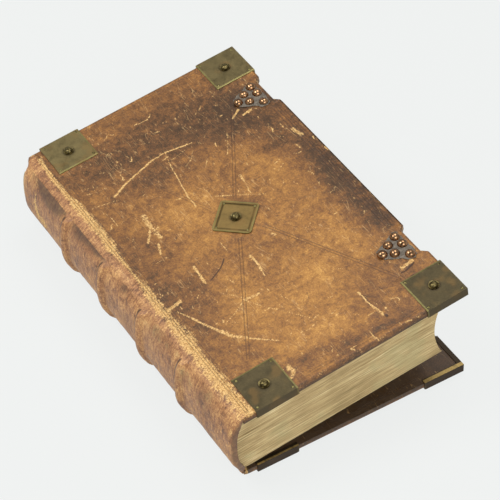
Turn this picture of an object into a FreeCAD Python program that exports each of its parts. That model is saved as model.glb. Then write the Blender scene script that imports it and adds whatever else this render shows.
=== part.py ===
import FreeCAD, Part
import math
import os

os.makedirs("parts", exist_ok=True)
V = FreeCAD.Vector

# An old folio in full leather over wooden boards, lying on its lower cover.
# It is drawn closed first: X runs from the spine to the fore-edge with 0 at the lower joint,
# Y runs from the tail to the head, and Z rises from the outer face of the lower cover.
# The block and the upper cover are then turned up about the lower joint by the gape.

# The whole book
cover_height = 340.0            # tail edge to head edge of a cover
cover_reach = 198.0             # joint to fore-edge of a cover
book_thickness = 68.4           # over both covers when closed
lean = 7.7                      # the upper cover has slid this far towards the fore-edge
racking = 3.5                   # the lower cover sits this much nearer the head
gape = 7.5                      # degrees between the lower cover and the block

# Covers
leather = 1.1
board_thickness = 3.8
edge_round = 1.0                # rounding of a bare board's outer edges
turn_in = 21.0                  # width of leather folded to the inner face
paste_paper = 0.5
joint_gap = 0.3                 # between leather on the two sides of a joint
board_joint_gap = 1.6           # bare board to joint line

# Spine
spine_round = 6.3               # bulge of the back over its chord
spine_setback = 4.2             # back corners lie this far behind the joints
shoulder_radius = 12.0          # rounding of the back corners
cap_thickness = 3.4             # leather rolled in at head and tail
cap_gap = 0.3                   # rolled leather to the leaves
back_build = 4.0                # outer leather face to the folded sections
lining_clearance = 0.2
band_rise = 3.4
band_width = 10.4
band_foot = 0.6                 # how deep a band's flank starts in the leather
band_shoulder_radius = 16.0
band_fade = 0.9                 # bands die this far below the covers' faces, so that covers open flat
first_band = 76.7               # from the tail edge
band_pitch = 61.2
band_count = 4
cord_clearance = 0.05
cord_end_cover = 0.1            # extra leather over a cord's ends

# Block of leaves
square = 5.3                    # covers stand this much past the leaves at head and tail
block_low_gap = 1.7             # lower cover to leaves, closed
block_high_gap = 0.3            # leaves to upper cover
fore_square = 16.9              # lower cover stands this much past the lowest leaf
fore_edge_hollow = 7.0
block_shoulder_radius = 9.0

# Lacing of the cords into the boards
slip_width = 6.0
slip_thickness = 1.6
slip_length = 24.0
peg_radius = 2.2

# Clasp sites on the upper cover
tail_clasp = 66.5               # from the tail edge
head_clasp = 61.0               # from the head edge
notch_depth = 4.5
notch_floor = 26.0
edge_bevel_width = 8.0
edge_bevel_drop = 1.7
nail_radius = 3.5
nail_height = 3.3
nail_shank_radius = 1.0
nail_shank = 4.4
nail_pitch = 10.2
nail_row = 9.2
nail_edge = 11.2                # outer nail row to fore-edge
stub_thickness = 0.7
stub_margin = 4.4
stub_setback = 0.3              # from the notch's floor

# Brass furniture
plate_size = 36.4
plate_thickness = 0.8
plate_setback = 11.3            # joint to the spine-side shoes
plate_lip = 3.2                 # shoe folded onto the inner face
plate_bevel = 1.6
plate_bevel_drop = 0.35
centre_side = 32.0
centre_corner_radius = 3.2
centre_rim = 2.6
centre_dish = 0.35
centre_shift = (0.6, 2.5)       # upper centre plate from the middle of its cover
pin_inset = 3.0
pin_head_radius = 1.15
pin_head_height = 0.5
pin_shank_radius = 0.7
pin_shank = 3.2
boss_collar_radius = 4.4
boss_collar_height = 0.7
boss_groove = 0.25              # fall from the collar's rim to the neck
boss_neck_radius = 3.3
boss_height = 2.6
boss_flat_radius = 1.3
boss_dome_bulge = 0.55          # how far the dome swells past a straight cone
boss_shank_radius = 1.4
boss_shank = 4.6

# Worked out from the values above
stack = board_thickness + 2 * leather
band_places = [first_band + band_pitch * i for i in range(band_count)]
block_low = stack + block_low_gap
block_high = book_thickness - stack - block_high_gap
block_reach = cover_reach - fore_square
clasp_sites = (tail_clasp, cover_height - head_clasp)
past = 30.0                     # how far cutting shapes run past what they cut

chord = math.hypot(lean, book_thickness)
back_radius = chord ** 2 / (8 * spine_round) + spine_round / 2
back_x = lean / 2 - spine_setback + (back_radius - spine_round) * book_thickness / chord
back_z = book_thickness / 2 - (back_radius - spine_round) * lean / chord


def block(x0, x1, y0, y1, z0, z1):
    low, high = min(z0, z1), max(z0, z1)
    return Part.makeBox(x1 - x0, y1 - y0, high - low, V(x0, y0, low))


def corner_centre(back, level, corner, rising):
    """Centre of the arc that rounds the back into a face at height level."""
    z = level + corner if rising else level - corner
    reach = back_radius - back - corner
    return V(back_x - math.sqrt(reach ** 2 - (z - back_z) ** 2), 0, z)


def back_edges(back, low, high, corner):
    """The rounded back, from the lower face to the upper one, as three tangent arcs.

    back is how far the curve lies inside the outer leather."""
    middle = V(back_x, 0, back_z)
    radius = back_radius - back
    low_centre = corner_centre(back, low, corner, True)
    high_centre = corner_centre(back, high, corner, False)
    low_start = V(low_centre.x, 0, low)
    high_end = V(high_centre.x, 0, high)
    low_way = (low_centre - middle).normalize()
    high_way = (high_centre - middle).normalize()
    low_tangent = middle + low_way * radius
    high_tangent = middle + high_way * radius
    low_turn = low_centre + (low_way + V(0, 0, -1)).normalize() * corner
    high_turn = high_centre + (high_way + V(0, 0, 1)).normalize() * corner
    apex = middle + (low_way + high_way).normalize() * radius
    edges = [
        Part.Arc(low_start, low_turn, low_tangent).toShape(),
        Part.Arc(low_tangent, apex, high_tangent).toShape(),
        Part.Arc(high_tangent, high_turn, high_end).toShape(),
    ]
    return edges, low_start, high_end


def extrude_profile(edges, y0, y1):
    face = Part.Face(Part.Wire(edges))
    face.translate(V(0, y0, 0))
    return face.extrude(V(0, y1 - y0, 0))


def book_form(back, face_inset, corner, y0, y1):
    """The whole closed book as one form, moved inwards by back and face_inset."""
    low = face_inset
    high = book_thickness - face_inset
    edges, start, end = back_edges(back, low, high, corner)
    far = cover_reach + past
    edges.append(Part.LineSegment(end, V(far, 0, high)).toShape())
    edges.append(Part.LineSegment(V(far, 0, high), V(far, 0, low)).toShape())
    edges.append(Part.LineSegment(V(far, 0, low), start).toShape())
    return extrude_profile(edges, y0, y1)


def leather_form(inset):
    return book_form(inset, inset, shoulder_radius - inset, -past, cover_height + past)


def spine_side(clearance):
    """Everything behind the two joints."""
    middle = book_thickness / 2
    points = [
        V(-past, 0, -past), V(-clearance, 0, -past), V(-clearance, 0, middle),
        V(lean - clearance, 0, middle), V(lean - clearance, 0, book_thickness + past),
        V(-past, 0, book_thickness + past), V(-past, 0, -past),
    ]
    wire = Part.makePolygon(points)
    return extrude_profile(wire.Edges, -past, cover_height + past)


def joint_axis_height():
    """Height of the outer leather at the lower joint, where the covers turn."""
    centre = corner_centre(0, 0, shoulder_radius, True)
    return centre.z - math.sqrt(shoulder_radius ** 2 - centre.x ** 2)


class Cover:
    """Places on one cover: along from its joint, across from its tail edge, depth from its outer face."""

    def __init__(self, upper):
        self.upper = upper
        self.x = lean if upper else 0.0
        self.y = 0.0 if upper else racking
        self.sign = -1.0 if upper else 1.0
        self.face = book_thickness if upper else 0.0

    def box(self, along0, along1, across0, across1, depth0, depth1):
        z0 = self.face + self.sign * depth0
        z1 = self.face + self.sign * depth1
        return block(self.x + along0, self.x + along1, self.y + across0, self.y + across1, z0, z1)

    def seat(self, shape, along, across, height):
        """Set a fastener, drawn pointing up from its seat, on the outer face."""
        placed = shape.copy()
        if not self.upper:
            placed.rotate(V(0, 0, 0), V(1, 0, 0), 180)
        placed.translate(V(self.x + along, self.y + across, self.face - self.sign * height))
        return placed


def outer_edges(cover, box, depth, along, across0, across1):
    """Edges of a cover's outer face, apart from the one at the joint."""
    z = cover.face + cover.sign * depth
    found = []
    for edge in box.Edges:
        at = edge.CenterOfMass
        on_face = abs(at.z - z) < 0.01
        on_fore = abs(at.x - cover.x - along) < 0.01
        on_end = abs(at.y - cover.y - across0) < 0.01 or abs(at.y - cover.y - across1) < 0.01
        if on_face and (on_fore or on_end):
            found.append(edge)
    return found


def clasp_notch(cover, site, grow):
    """A strap's notch in the fore-edge, with ends slanted at 45 degrees, grown by the leather."""
    half = notch_floor / 2 + grow * math.tan(math.radians(22.5))
    floor = cover_reach - notch_depth - grow
    mouth = cover_reach + past
    points = [
        (floor, site - half), (floor, site + half),
        (mouth, site + half + mouth - floor), (mouth, site - half - mouth + floor),
    ]
    corners = [V(cover.x + a, cover.y + b, cover.face - past) for a, b in points]
    corners.append(corners[0])
    face = Part.Face(Part.makePolygon(corners))
    return face.extrude(V(0, 0, 2 * past))


def edge_bevel(cover, depth):
    """The slope on the fore-edge between the two clasp notches."""
    tail_end = clasp_sites[0] + notch_floor / 2 + notch_depth
    head_end = clasp_sites[1] - notch_floor / 2 - notch_depth
    slope = edge_bevel_drop / edge_bevel_width
    start = V(cover.x + cover_reach - edge_bevel_width, 0, cover.face - depth)
    out = V(start.x + past, 0, start.z - past * slope)
    top = V(out.x, 0, start.z + past)
    over = V(start.x, 0, start.z + past)
    wire = Part.makePolygon([start, out, top, over, start])
    return extrude_profile(wire.Edges, cover.y + tail_end, cover.y + head_end)


def cover_form(cover, skin):
    """A cover's full form: the bare board with skin = 0, or with its leather at skin = leather."""
    inset = leather - skin
    along0 = joint_gap / 2 if skin else board_joint_gap
    along1 = cover_reach - inset
    across1 = cover_height - inset
    box = cover.box(along0, along1, inset, across1, inset, stack - inset)
    edges = outer_edges(cover, box, inset, along1, inset, across1)
    form = box.makeFillet(edge_round + skin, edges)
    form = form.common(leather_form(inset))
    if cover.upper:
        for site in clasp_sites:
            form = form.cut(clasp_notch(cover, site, inset))
        form = form.cut(edge_bevel(cover, inset))
    return form


def drill(radius, depth):
    return Part.makeCylinder(radius, depth + past, V(0, 0, -depth))


def plate_corners(cover):
    """Tail and head, spine and fore-edge corners as (along, across) of each shoe's low corner."""
    spine = plate_setback
    fore = cover_reach + plate_thickness - plate_size
    tail = -plate_thickness
    head = cover_height + plate_thickness - plate_size
    return {
        "tail_spine": (spine, tail), "head_spine": (spine, head),
        "tail_fore": (fore, tail), "head_fore": (fore, head),
    }


def corner_shoe(cover, corner, dressed_cover):
    """Sheet brass folded over the cover's edges, with a lip on the inner face."""
    along, across = plate_corners(cover)[corner]
    outer = cover.box(along, along + plate_size, across, across + plate_size,
                      -plate_thickness, stack + plate_thickness)
    lip_low, lip_high = across - past, across + plate_size + past
    if corner.startswith("tail"):
        lip_low = plate_lip
    else:
        lip_high = cover_height - plate_lip
    fore_limit = along + plate_size + past
    if corner.endswith("fore"):
        fore_limit = cover_reach - plate_lip
    window = cover.box(along - past, fore_limit, lip_low, lip_high, leather, stack + past)
    shoe = outer.cut(dressed_cover).cut(window)
    return shoe.cut(shoe_bevel(cover, corner, along, across))


def shoe_bevel(cover, corner, along, across):
    """Wedges that thin the shoe's two inner edges, cut as one turned frame."""
    wedges = []
    inner_across = across + plate_size if corner.startswith("tail") else across
    way = 1.0 if corner.startswith("tail") else -1.0
    wedges.append(wedge_across(cover, along, along + plate_size, inner_across, way))
    inner_along = along if corner.endswith("fore") else along + plate_size
    way = -1.0 if corner.endswith("fore") else 1.0
    wedges.append(wedge_along(cover, across, across + plate_size, inner_along, way))
    return Part.makeCompound(wedges)


def wedge_points(cover, edge, way):
    top = cover.face - cover.sign * plate_thickness
    drop = cover.sign * plate_bevel_drop
    lift = cover.sign * past
    return [
        (edge - way * plate_bevel, top),
        (edge, top + drop),
        (edge + way * past, top + drop),
        (edge + way * past, top - lift),
        (edge - way * plate_bevel, top - lift),
    ]


def wedge_across(cover, along0, along1, edge, way):
    points = [V(cover.x + along0 - past, cover.y + b, z) for b, z in wedge_points(cover, edge, way)]
    face = Part.Face(Part.makePolygon(points + [points[0]]))
    return face.extrude(V(along1 - along0 + 2 * past, 0, 0))


def wedge_along(cover, across0, across1, edge, way):
    points = [V(cover.x + a, cover.y + across0 - past, z) for a, z in wedge_points(cover, edge, way)]
    face = Part.Face(Part.makePolygon(points + [points[0]]))
    return face.extrude(V(0, across1 - across0 + 2 * past, 0))


def centre_place(cover):
    shift = centre_shift if cover.upper else (0.0, 0.0)
    return cover_reach / 2 + shift[0], cover_height / 2 + shift[1]


def rounded_square(side, corner, height):
    square_box = Part.makeBox(side, side, height, V(-side / 2, -side / 2, 0))
    upright = [e for e in square_box.Edges if abs(e.Length - height) < 0.001]
    return square_box.makeFillet(corner, upright)


def centre_plate(cover):
    """A square turned on its corner, its field dished inside a raised rim."""
    plate = rounded_square(centre_side, centre_corner_radius, plate_thickness)
    field = rounded_square(centre_side - 2 * centre_rim, centre_corner_radius, plate_thickness)
    field.translate(V(0, 0, plate_thickness - centre_dish))
    plate = plate.cut(field)
    plate.rotate(V(0, 0, 0), V(0, 0, 1), 45)
    along, across = centre_place(cover)
    return cover.seat(plate, along, across, 0.0)


def revolve_profile(edges):
    face = Part.Face(Part.Wire(edges))
    return face.revolve(V(0, 0, 0), V(0, 0, 1), 360)


def line(a, b):
    return Part.LineSegment(V(a[0], 0, a[1]), V(b[0], 0, b[1])).toShape()


def boss(seat_drop):
    """A turned boss: collar, neck and low dome, worn flat on top, with its shank below.

    seat_drop is how far the plate's field lies below its rim."""
    base = -seat_drop
    top = boss_height
    neck = base + boss_collar_height
    groove = neck - boss_groove
    foot = V(boss_neck_radius, 0, groove)
    crown = V(boss_flat_radius, 0, top)
    outwards = V(top - groove, 0, boss_neck_radius - boss_flat_radius).normalize()
    swell = (foot + crown) * 0.5 + outwards * boss_dome_bulge
    dome = Part.Arc(foot, swell, crown).toShape()
    edges = [
        line((0, -boss_shank), (boss_shank_radius, -boss_shank)),
        line((boss_shank_radius, -boss_shank), (boss_shank_radius, base)),
        line((boss_shank_radius, base), (boss_collar_radius, base)),
        line((boss_collar_radius, base), (boss_collar_radius, neck)),
        line((boss_collar_radius, neck), (boss_neck_radius, groove)),
        dome,
        line((boss_flat_radius, top), (0, top)),
        line((0, top), (0, -boss_shank)),
    ]
    return revolve_profile(edges)


def domed_nail(radius, height, shank_radius, shank):
    """A nail with a domed head, part of a sphere, and a round shank."""
    sphere = (radius ** 2 + height ** 2) / (2 * height)
    turn = math.asin(min(radius / sphere, 1.0)) / 2
    mid = V(sphere * math.sin(turn), 0, height - sphere + sphere * math.cos(turn))
    dome = Part.Arc(V(radius, 0, 0), mid, V(0, 0, height)).toShape()
    edges = [
        line((0, -shank), (shank_radius, -shank)),
        line((shank_radius, -shank), (shank_radius, 0)),
        line((shank_radius, 0), (radius, 0)),
        dome,
        line((0, height), (0, -shank)),
    ]
    return revolve_profile(edges)


def shoe_pin_places(cover):
    places = []
    far = plate_size - pin_inset
    for along, across in plate_corners(cover).values():
        for a in (pin_inset, far):
            for b in (pin_inset, far):
                places.append((along + a, across + b))
    return places


def centre_pin_places(cover):
    along, across = centre_place(cover)
    reach = centre_side / math.sqrt(2) - pin_inset - centre_corner_radius / 2
    return [(along + reach, across), (along - reach, across),
            (along, across + reach), (along, across - reach)]


def shoe_boss_places(cover):
    half = plate_size / 2
    return [(along + half, across + half) for along, across in plate_corners(cover).values()]


def clasp_nail_places(site):
    """Three nails along the fore-edge, then two, then one."""
    places = []
    for row in range(3):
        for i in range(3 - row):
            along = cover_reach - nail_edge - row * nail_row
            places.append((along, site + (i - (2 - row) / 2) * nail_pitch))
    return places


def strap_stub(cover, site):
    """What is left of a clasp strap: a thin triangle of leather under its nails."""
    low = cover_reach - nail_edge - 2 * nail_row
    edge = cover_reach - notch_depth - stub_setback
    half = nail_pitch + stub_margin
    points = [
        V(edge, site - half, 0), V(edge, site + half, 0),
        V(low, site + stub_margin, 0), V(low - stub_margin, site, 0), V(low, site - stub_margin, 0),
    ]
    face = Part.Face(Part.makePolygon(points + [points[0]]))
    stub = face.extrude(V(0, 0, stub_thickness))
    return cover.seat(stub, 0.0, 0.0, 0.0)


def fastener_holes(cover):
    """Drillings for every shank that goes into this cover."""
    holes = []
    for along, across in shoe_pin_places(cover) + centre_pin_places(cover):
        holes.append(cover.seat(drill(pin_shank_radius, pin_shank), along, across, plate_thickness))
    for along, across in shoe_boss_places(cover) + [centre_place(cover)]:
        holes.append(cover.seat(drill(boss_shank_radius, boss_shank), along, across, plate_thickness))
    if cover.upper:
        for site in clasp_sites:
            for along, across in clasp_nail_places(site):
                tool = drill(nail_shank_radius, nail_shank)
                holes.append(cover.seat(tool, along, across, stub_thickness))
    return Part.makeCompound(holes)


def slip_places(cover):
    """Bands in this cover's own measure across from its tail edge."""
    return [band - cover.y for band in band_places]


def slip(cover, across):
    """A cord's end, frayed out flat and laid in a channel of the board's outer face."""
    start = shoulder_radius / 2
    half = slip_width / 2
    return cover.box(start, start + slip_length, across - half, across + half,
                     leather, leather + slip_thickness)


def peg(cover, across):
    """A wooden peg that wedges the slip's end in the board."""
    along = shoulder_radius / 2 + slip_length - slip_width / 2
    depth = board_thickness - slip_thickness
    post = Part.makeCylinder(peg_radius, depth)
    return cover.seat(post, along, across, -(leather + board_thickness))


def lacing(cover):
    slips = [slip(cover, across) for across in slip_places(cover)]
    pegs = [peg(cover, across) for across in slip_places(cover)]
    return slips, pegs


def bare_board(cover):
    slips, pegs = lacing(cover)
    board = cover_form(cover, 0.0)
    board = board.cut(Part.makeCompound(slips))
    board = board.cut(Part.makeCompound(pegs))
    return board.cut(fastener_holes(cover))


def inner_window(cover, depth0, depth1):
    """The part of the inner face that the turn-ins leave bare."""
    return cover.box(board_joint_gap, cover_reach - turn_in, turn_in, cover_height - turn_in,
                     depth0, depth1)


def cover_leather(cover):
    skin = cover_form(cover, leather).cut(cover_form(cover, 0.0))
    skin = skin.cut(inner_window(cover, leather + board_thickness, stack + past))
    strip = cover.box(-past, board_joint_gap, -past, cover_height + past, leather, stack + past)
    skin = skin.cut(strip)
    return skin.cut(fastener_holes(cover))


def pastedown(cover):
    depth = leather + board_thickness
    return inner_window(cover, depth, depth + paste_paper)


def ring(centre_back, radius, y):
    """A round ridge that follows the back at height y, centred centre_back inside the leather."""
    centre = V(back_x - back_radius + centre_back, y, back_z)
    circle = Part.makeCircle(radius, centre, V(0, 0, 1))
    face = Part.Face(Part.Wire(circle))
    return face.revolve(V(back_x, y, back_z), V(0, 1, 0), 360)


def band_ridge(y):
    """Leather over one cord: a ridge that dies into the covers at its ends."""
    rise = band_rise + band_foot
    radius = ((band_width / 2) ** 2 + rise ** 2) / (2 * rise)
    ridge = ring(radius - band_rise, radius, y)
    limit = book_form(-band_rise - 1, band_fade, band_shoulder_radius, y - band_width, y + band_width)
    return ridge.common(limit)


def cord_radius():
    return (back_build - cord_clearance + band_rise - leather) / 2


def sewing_cord(y):
    """One of the cords that the sections are sewn on, bent over the back."""
    radius = cord_radius()
    cord = ring(radius - (band_rise - leather), radius, y)
    limit = book_form(-band_rise - 1, band_fade + leather + cord_end_cover, band_shoulder_radius - leather,
                      y - band_width, y + band_width)
    return cord.common(limit).common(spine_side(board_joint_gap))


def spine_leather():
    outer = leather_form(0.0).common(block(-past, cover_reach, 0, cover_height, 0, book_thickness))
    for y in band_places:
        outer = outer.fuse(band_ridge(y))
    shell = outer.cut(leather_form(leather))
    cap_width = square - cap_gap
    for y in (0.0, cover_height - cap_width):
        slice_box = block(-past, cover_reach, y, y + cap_width, 0, book_thickness)
        cap = leather_form(0.0).common(slice_box)
        shell = shell.fuse(cap.cut(leather_form(cap_thickness)))
    for y in band_places:
        shell = shell.cut(sewing_cord(y))
    return shell.common(spine_side(joint_gap / 2))


def spine_linings():
    """Panels pasted on the back between the cords."""
    edges = [square] + band_places + [cover_height - square]
    inside = leather_form(leather).cut(leather_form(back_build))
    inside = inside.common(spine_side(board_joint_gap))
    panels = []
    for low, high in zip(edges[:-1], edges[1:]):
        y0 = low + (cord_radius() if low > square else 0.0) + lining_clearance
        y1 = high - (cord_radius() if high < cover_height - square else 0.0) - lining_clearance
        panels.append(inside.common(block(-past, past, y0, y1, block_low, block_high)))
    return panels


def fore_edge_x(z):
    """The fore-edge leans with the spine."""
    return block_reach + lean * (z - block_low) / book_thickness


def text_block():
    """The leaves: rounded at the back, hollow at the fore-edge."""
    edges, start, end = back_edges(back_build, block_low, block_high, block_shoulder_radius)
    low = V(fore_edge_x(block_low), 0, block_low)
    high = V(fore_edge_x(block_high), 0, block_high)
    middle = (low + high) * 0.5 - V(fore_edge_hollow, 0, 0)
    edges.append(Part.LineSegment(end, high).toShape())
    edges.append(Part.Arc(high, middle, low).toShape())
    edges.append(Part.LineSegment(low, start).toShape())
    return extrude_profile(edges, square, cover_height - square)


def furniture(cover, prefix, body):
    """Brass plates, bosses and pins of one cover."""
    dressed = cover_form(cover, leather)
    holes = fastener_holes(cover)
    for corner in plate_corners(cover):
        shoe = corner_shoe(cover, corner, dressed).cut(holes)
        export(prefix + "_" + corner + "_shoe", shoe, body)
    plate = centre_plate(cover).cut(holes)
    export(prefix + "_centre_plate", plate, body)
    bosses = [cover.seat(boss(0.0), a, b, plate_thickness) for a, b in shoe_boss_places(cover)]
    export(prefix + "_corner_bosses", Part.makeCompound(bosses), body)
    along, across = centre_place(cover)
    export(prefix + "_centre_boss", cover.seat(boss(centre_dish), along, across, plate_thickness), body)
    pin = domed_nail(pin_head_radius, pin_head_height, pin_shank_radius, pin_shank)
    places = shoe_pin_places(cover) + centre_pin_places(cover)
    pins = [cover.seat(pin, a, b, plate_thickness) for a, b in places]
    export(prefix + "_plate_pins", Part.makeCompound(pins), body)


def export(name, shape, body):
    """Turn up what lies above the lower joint, set the origin and write the piece."""
    piece = shape.copy()
    if body != "lower_cover":
        piece.rotate(V(0, 0, joint_axis_height()), V(0, -1, 0), gape)
    piece.translate(V(-cover_reach / 2, -cover_height / 2 - racking, plate_thickness + boss_height))
    piece.exportStep("parts/" + name + ".step")


def make_cover(cover, prefix, body):
    slips, pegs = lacing(cover)
    export(prefix + "_board", bare_board(cover), body)
    export(prefix + "_cover_leather", cover_leather(cover), body)
    export(prefix + "_pastedown", pastedown(cover), body)
    export(prefix + "_lacing_slips", Part.makeCompound(slips), body)
    export(prefix + "_lacing_pegs", Part.makeCompound(pegs), body)
    furniture(cover, prefix, body)


def make_clasp_sites(cover, body):
    nail = domed_nail(nail_radius, nail_height, nail_shank_radius, nail_shank)
    holes = fastener_holes(cover)
    for name, site in zip(("tail", "head"), clasp_sites):
        nails = [cover.seat(nail, a, b, stub_thickness) for a, b in clasp_nail_places(site)]
        export(name + "_clasp_nails", Part.makeCompound(nails), body)
        export(name + "_strap_stub", strap_stub(cover, site).cut(holes), body)


def make_block(body):
    export("text_block", text_block(), body)
    export("spine_leather", spine_leather(), body)
    export("spine_linings", Part.makeCompound(spine_linings()), body)
    for number, y in enumerate(band_places, start=1):
        export("sewing_cord_" + str(number), sewing_cord(y), body)


lower = Cover(upper=False)
upper = Cover(upper=True)
make_cover(lower, "lower", "lower_cover")
make_cover(upper, "upper", "upper_cover")
make_clasp_sites(upper, "upper_cover")
make_block("block")
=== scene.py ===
"""An old folio in full brown leather over wooden boards, with brass shoes, plates and domed nails."""

import math

import bmesh
import bpy
import numpy as np
from mathutils import Matrix, Vector


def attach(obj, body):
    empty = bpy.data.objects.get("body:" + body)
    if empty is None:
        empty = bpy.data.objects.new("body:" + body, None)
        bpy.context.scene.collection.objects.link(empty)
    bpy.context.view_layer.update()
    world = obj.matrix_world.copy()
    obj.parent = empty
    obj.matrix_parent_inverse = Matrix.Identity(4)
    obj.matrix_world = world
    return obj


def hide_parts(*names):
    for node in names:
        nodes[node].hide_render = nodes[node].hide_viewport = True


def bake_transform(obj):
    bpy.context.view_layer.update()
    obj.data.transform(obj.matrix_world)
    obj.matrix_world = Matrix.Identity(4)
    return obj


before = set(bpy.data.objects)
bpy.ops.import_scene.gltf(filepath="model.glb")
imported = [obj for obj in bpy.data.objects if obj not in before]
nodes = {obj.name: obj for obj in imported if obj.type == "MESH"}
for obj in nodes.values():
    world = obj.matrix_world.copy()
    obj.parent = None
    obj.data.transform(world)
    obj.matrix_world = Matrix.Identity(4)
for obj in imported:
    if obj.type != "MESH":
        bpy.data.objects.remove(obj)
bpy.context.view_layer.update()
MM = 0.001

# Driving sizes of the book, in millimetres, as the solids have them
cover_height = 340.0
cover_reach = 198.0
book_thickness = 68.4
lean = 7.7
racking = 3.5
gape = math.radians(7.5)
leather = 1.1
stack = 6.0                     # leather, board and leather
leather_round = 2.1
joint_slit = 0.15
turn_in = 21.0
shoulder_radius = 12.0
spine_round = 6.3
spine_setback = 4.2
cap_width = 5.0
band_rise = 3.4
band_ridge_radius = 5.38
band_places = (76.7, 137.9, 199.1, 260.3)
clasp_sites = (66.5, 279.0)
notch_depth = 4.5
notch_half = 13.0
edge_bevel_width = 8.0
edge_bevel_drop = 1.7
plate_size = 36.4
plate_thickness = 0.8
plate_setback = 11.3
centre_side = 32.0
square = 5.3
block_low = 7.7
block_high = 62.1
block_reach = 181.1
fore_edge_hollow = 7.0
back_build = 4.0
block_shoulder_radius = 9.0
rest_height = 3.4               # the lower cover's face above the table

# The photograph's frame
photo_side = 500.0
focal_px = 2200.0
camera_place = Vector((-0.609418, -1.093760, 1.271965))
camera_right = Vector((0.8536540, -0.5198594, -0.0319531))
camera_up = Vector((0.3833949, 0.5856730, 0.7141397))
camera_back = Vector((-0.3525381, -0.6218789, 0.6992735))

# Geometry of the rounded back, worked out once
chord = math.hypot(lean, book_thickness)
back_radius = chord ** 2 / (8 * spine_round) + spine_round / 2
back_x = lean / 2 - spine_setback + (back_radius - spine_round) * book_thickness / chord
back_z = book_thickness / 2 - (back_radius - spine_round) * lean / chord


def corner_centre(inside, level, corner, rising):
    """Centre (x, z) of the arc that rounds the back into a face."""
    z = level + corner if rising else level - corner
    reach = back_radius - inside - corner
    return back_x - math.sqrt(reach ** 2 - (z - back_z) ** 2), z


low_centre = corner_centre(0, 0, shoulder_radius, True)
high_centre = corner_centre(0, book_thickness, shoulder_radius, False)
axis_height = low_centre[1] - math.sqrt(shoulder_radius ** 2 - low_centre[0] ** 2)


def to_row(points, raised):
    """Closed book, millimetres, to the row frame in metres; raised pieces turn by the gape."""
    p = np.asarray(points, float).copy()
    if raised:
        x, z = p[..., 0].copy(), p[..., 2] - axis_height
        p[..., 0] = x * math.cos(gape) - z * math.sin(gape)
        p[..., 2] = axis_height + x * math.sin(gape) + z * math.cos(gape)
    p += (-cover_reach / 2, -cover_height / 2 - racking, rest_height)
    return p * MM


def to_pixels(points):
    """Where points of the row frame fall in the photograph."""
    v = np.asarray(points, float) - np.array(camera_place)
    across, up = v @ np.array(camera_right), v @ np.array(camera_up)
    depth = -(v @ np.array(camera_back))
    half = photo_side / 2
    return np.stack([half + focal_px * across / depth, half - focal_px * up / depth], -1)


# Small tools for numbers

def ramp(x, low, high):
    t = np.clip((x - low) / (high - low), 0.0, 1.0)
    return t * t * (3 - 2 * t)


def waves(x, y, size, seed, count=7):
    """Gentle unevenness between about -1 and 1, with features of the given size."""
    rng = np.random.default_rng(seed)
    total = 0.0
    for _ in range(count):
        turn, phase = rng.uniform(0, 2 * math.pi, 2)
        k = 2 * math.pi / (size * rng.uniform(0.7, 1.6))
        total = total + np.sin(k * (x * math.cos(turn) + y * math.sin(turn)) + phase)
    return total / math.sqrt(count) * 0.7


def stroke_distance(pixels, points):
    """Distance of each pixel place to an open line of points, and how far along it that is."""
    best = np.full(pixels.shape[:-1], 1e9)
    share = np.zeros(pixels.shape[:-1])
    points = np.asarray(points, float)
    for i, (a, b) in enumerate(zip(points[:-1], points[1:])):
        d = b - a
        t = np.clip(((pixels - a) @ d) / (d @ d), 0, 1)
        gap = np.linalg.norm(pixels - a - t[..., None] * d, axis=-1)
        nearer = gap < best
        best = np.where(nearer, gap, best)
        share = np.where(nearer, (i + t) / (len(points) - 1), share)
    return best, share


def painted(pixels, strokes):
    """Strength 0 to 1 left by strokes; each is (width at the start, width at the end, strength, points)."""
    total = np.zeros(pixels.shape[:-1])
    for start, end, strength, points in strokes:
        gap, share = stroke_distance(pixels, points)
        half = (start + (end - start) * share) * 0.36
        total = np.maximum(total, strength * np.clip(1.25 - gap / np.maximum(half, 0.4) * 0.75, 0, 1))
    return total


def shaded(pixels, clouds):
    """Sum of soft patches; each is (x, y, reach along, reach across, turn in degrees, amount)."""
    total = np.zeros(pixels.shape[:-1])
    for x, y, along, across, turn, amount in clouds:
        c, s = math.cos(math.radians(turn)), math.sin(math.radians(turn))
        dx, dy = pixels[..., 0] - x, pixels[..., 1] - y
        u, v = (dx * c + dy * s) / along, (-dx * s + dy * c) / across
        total += amount * np.exp(-(u * u + v * v))
    return total


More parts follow.
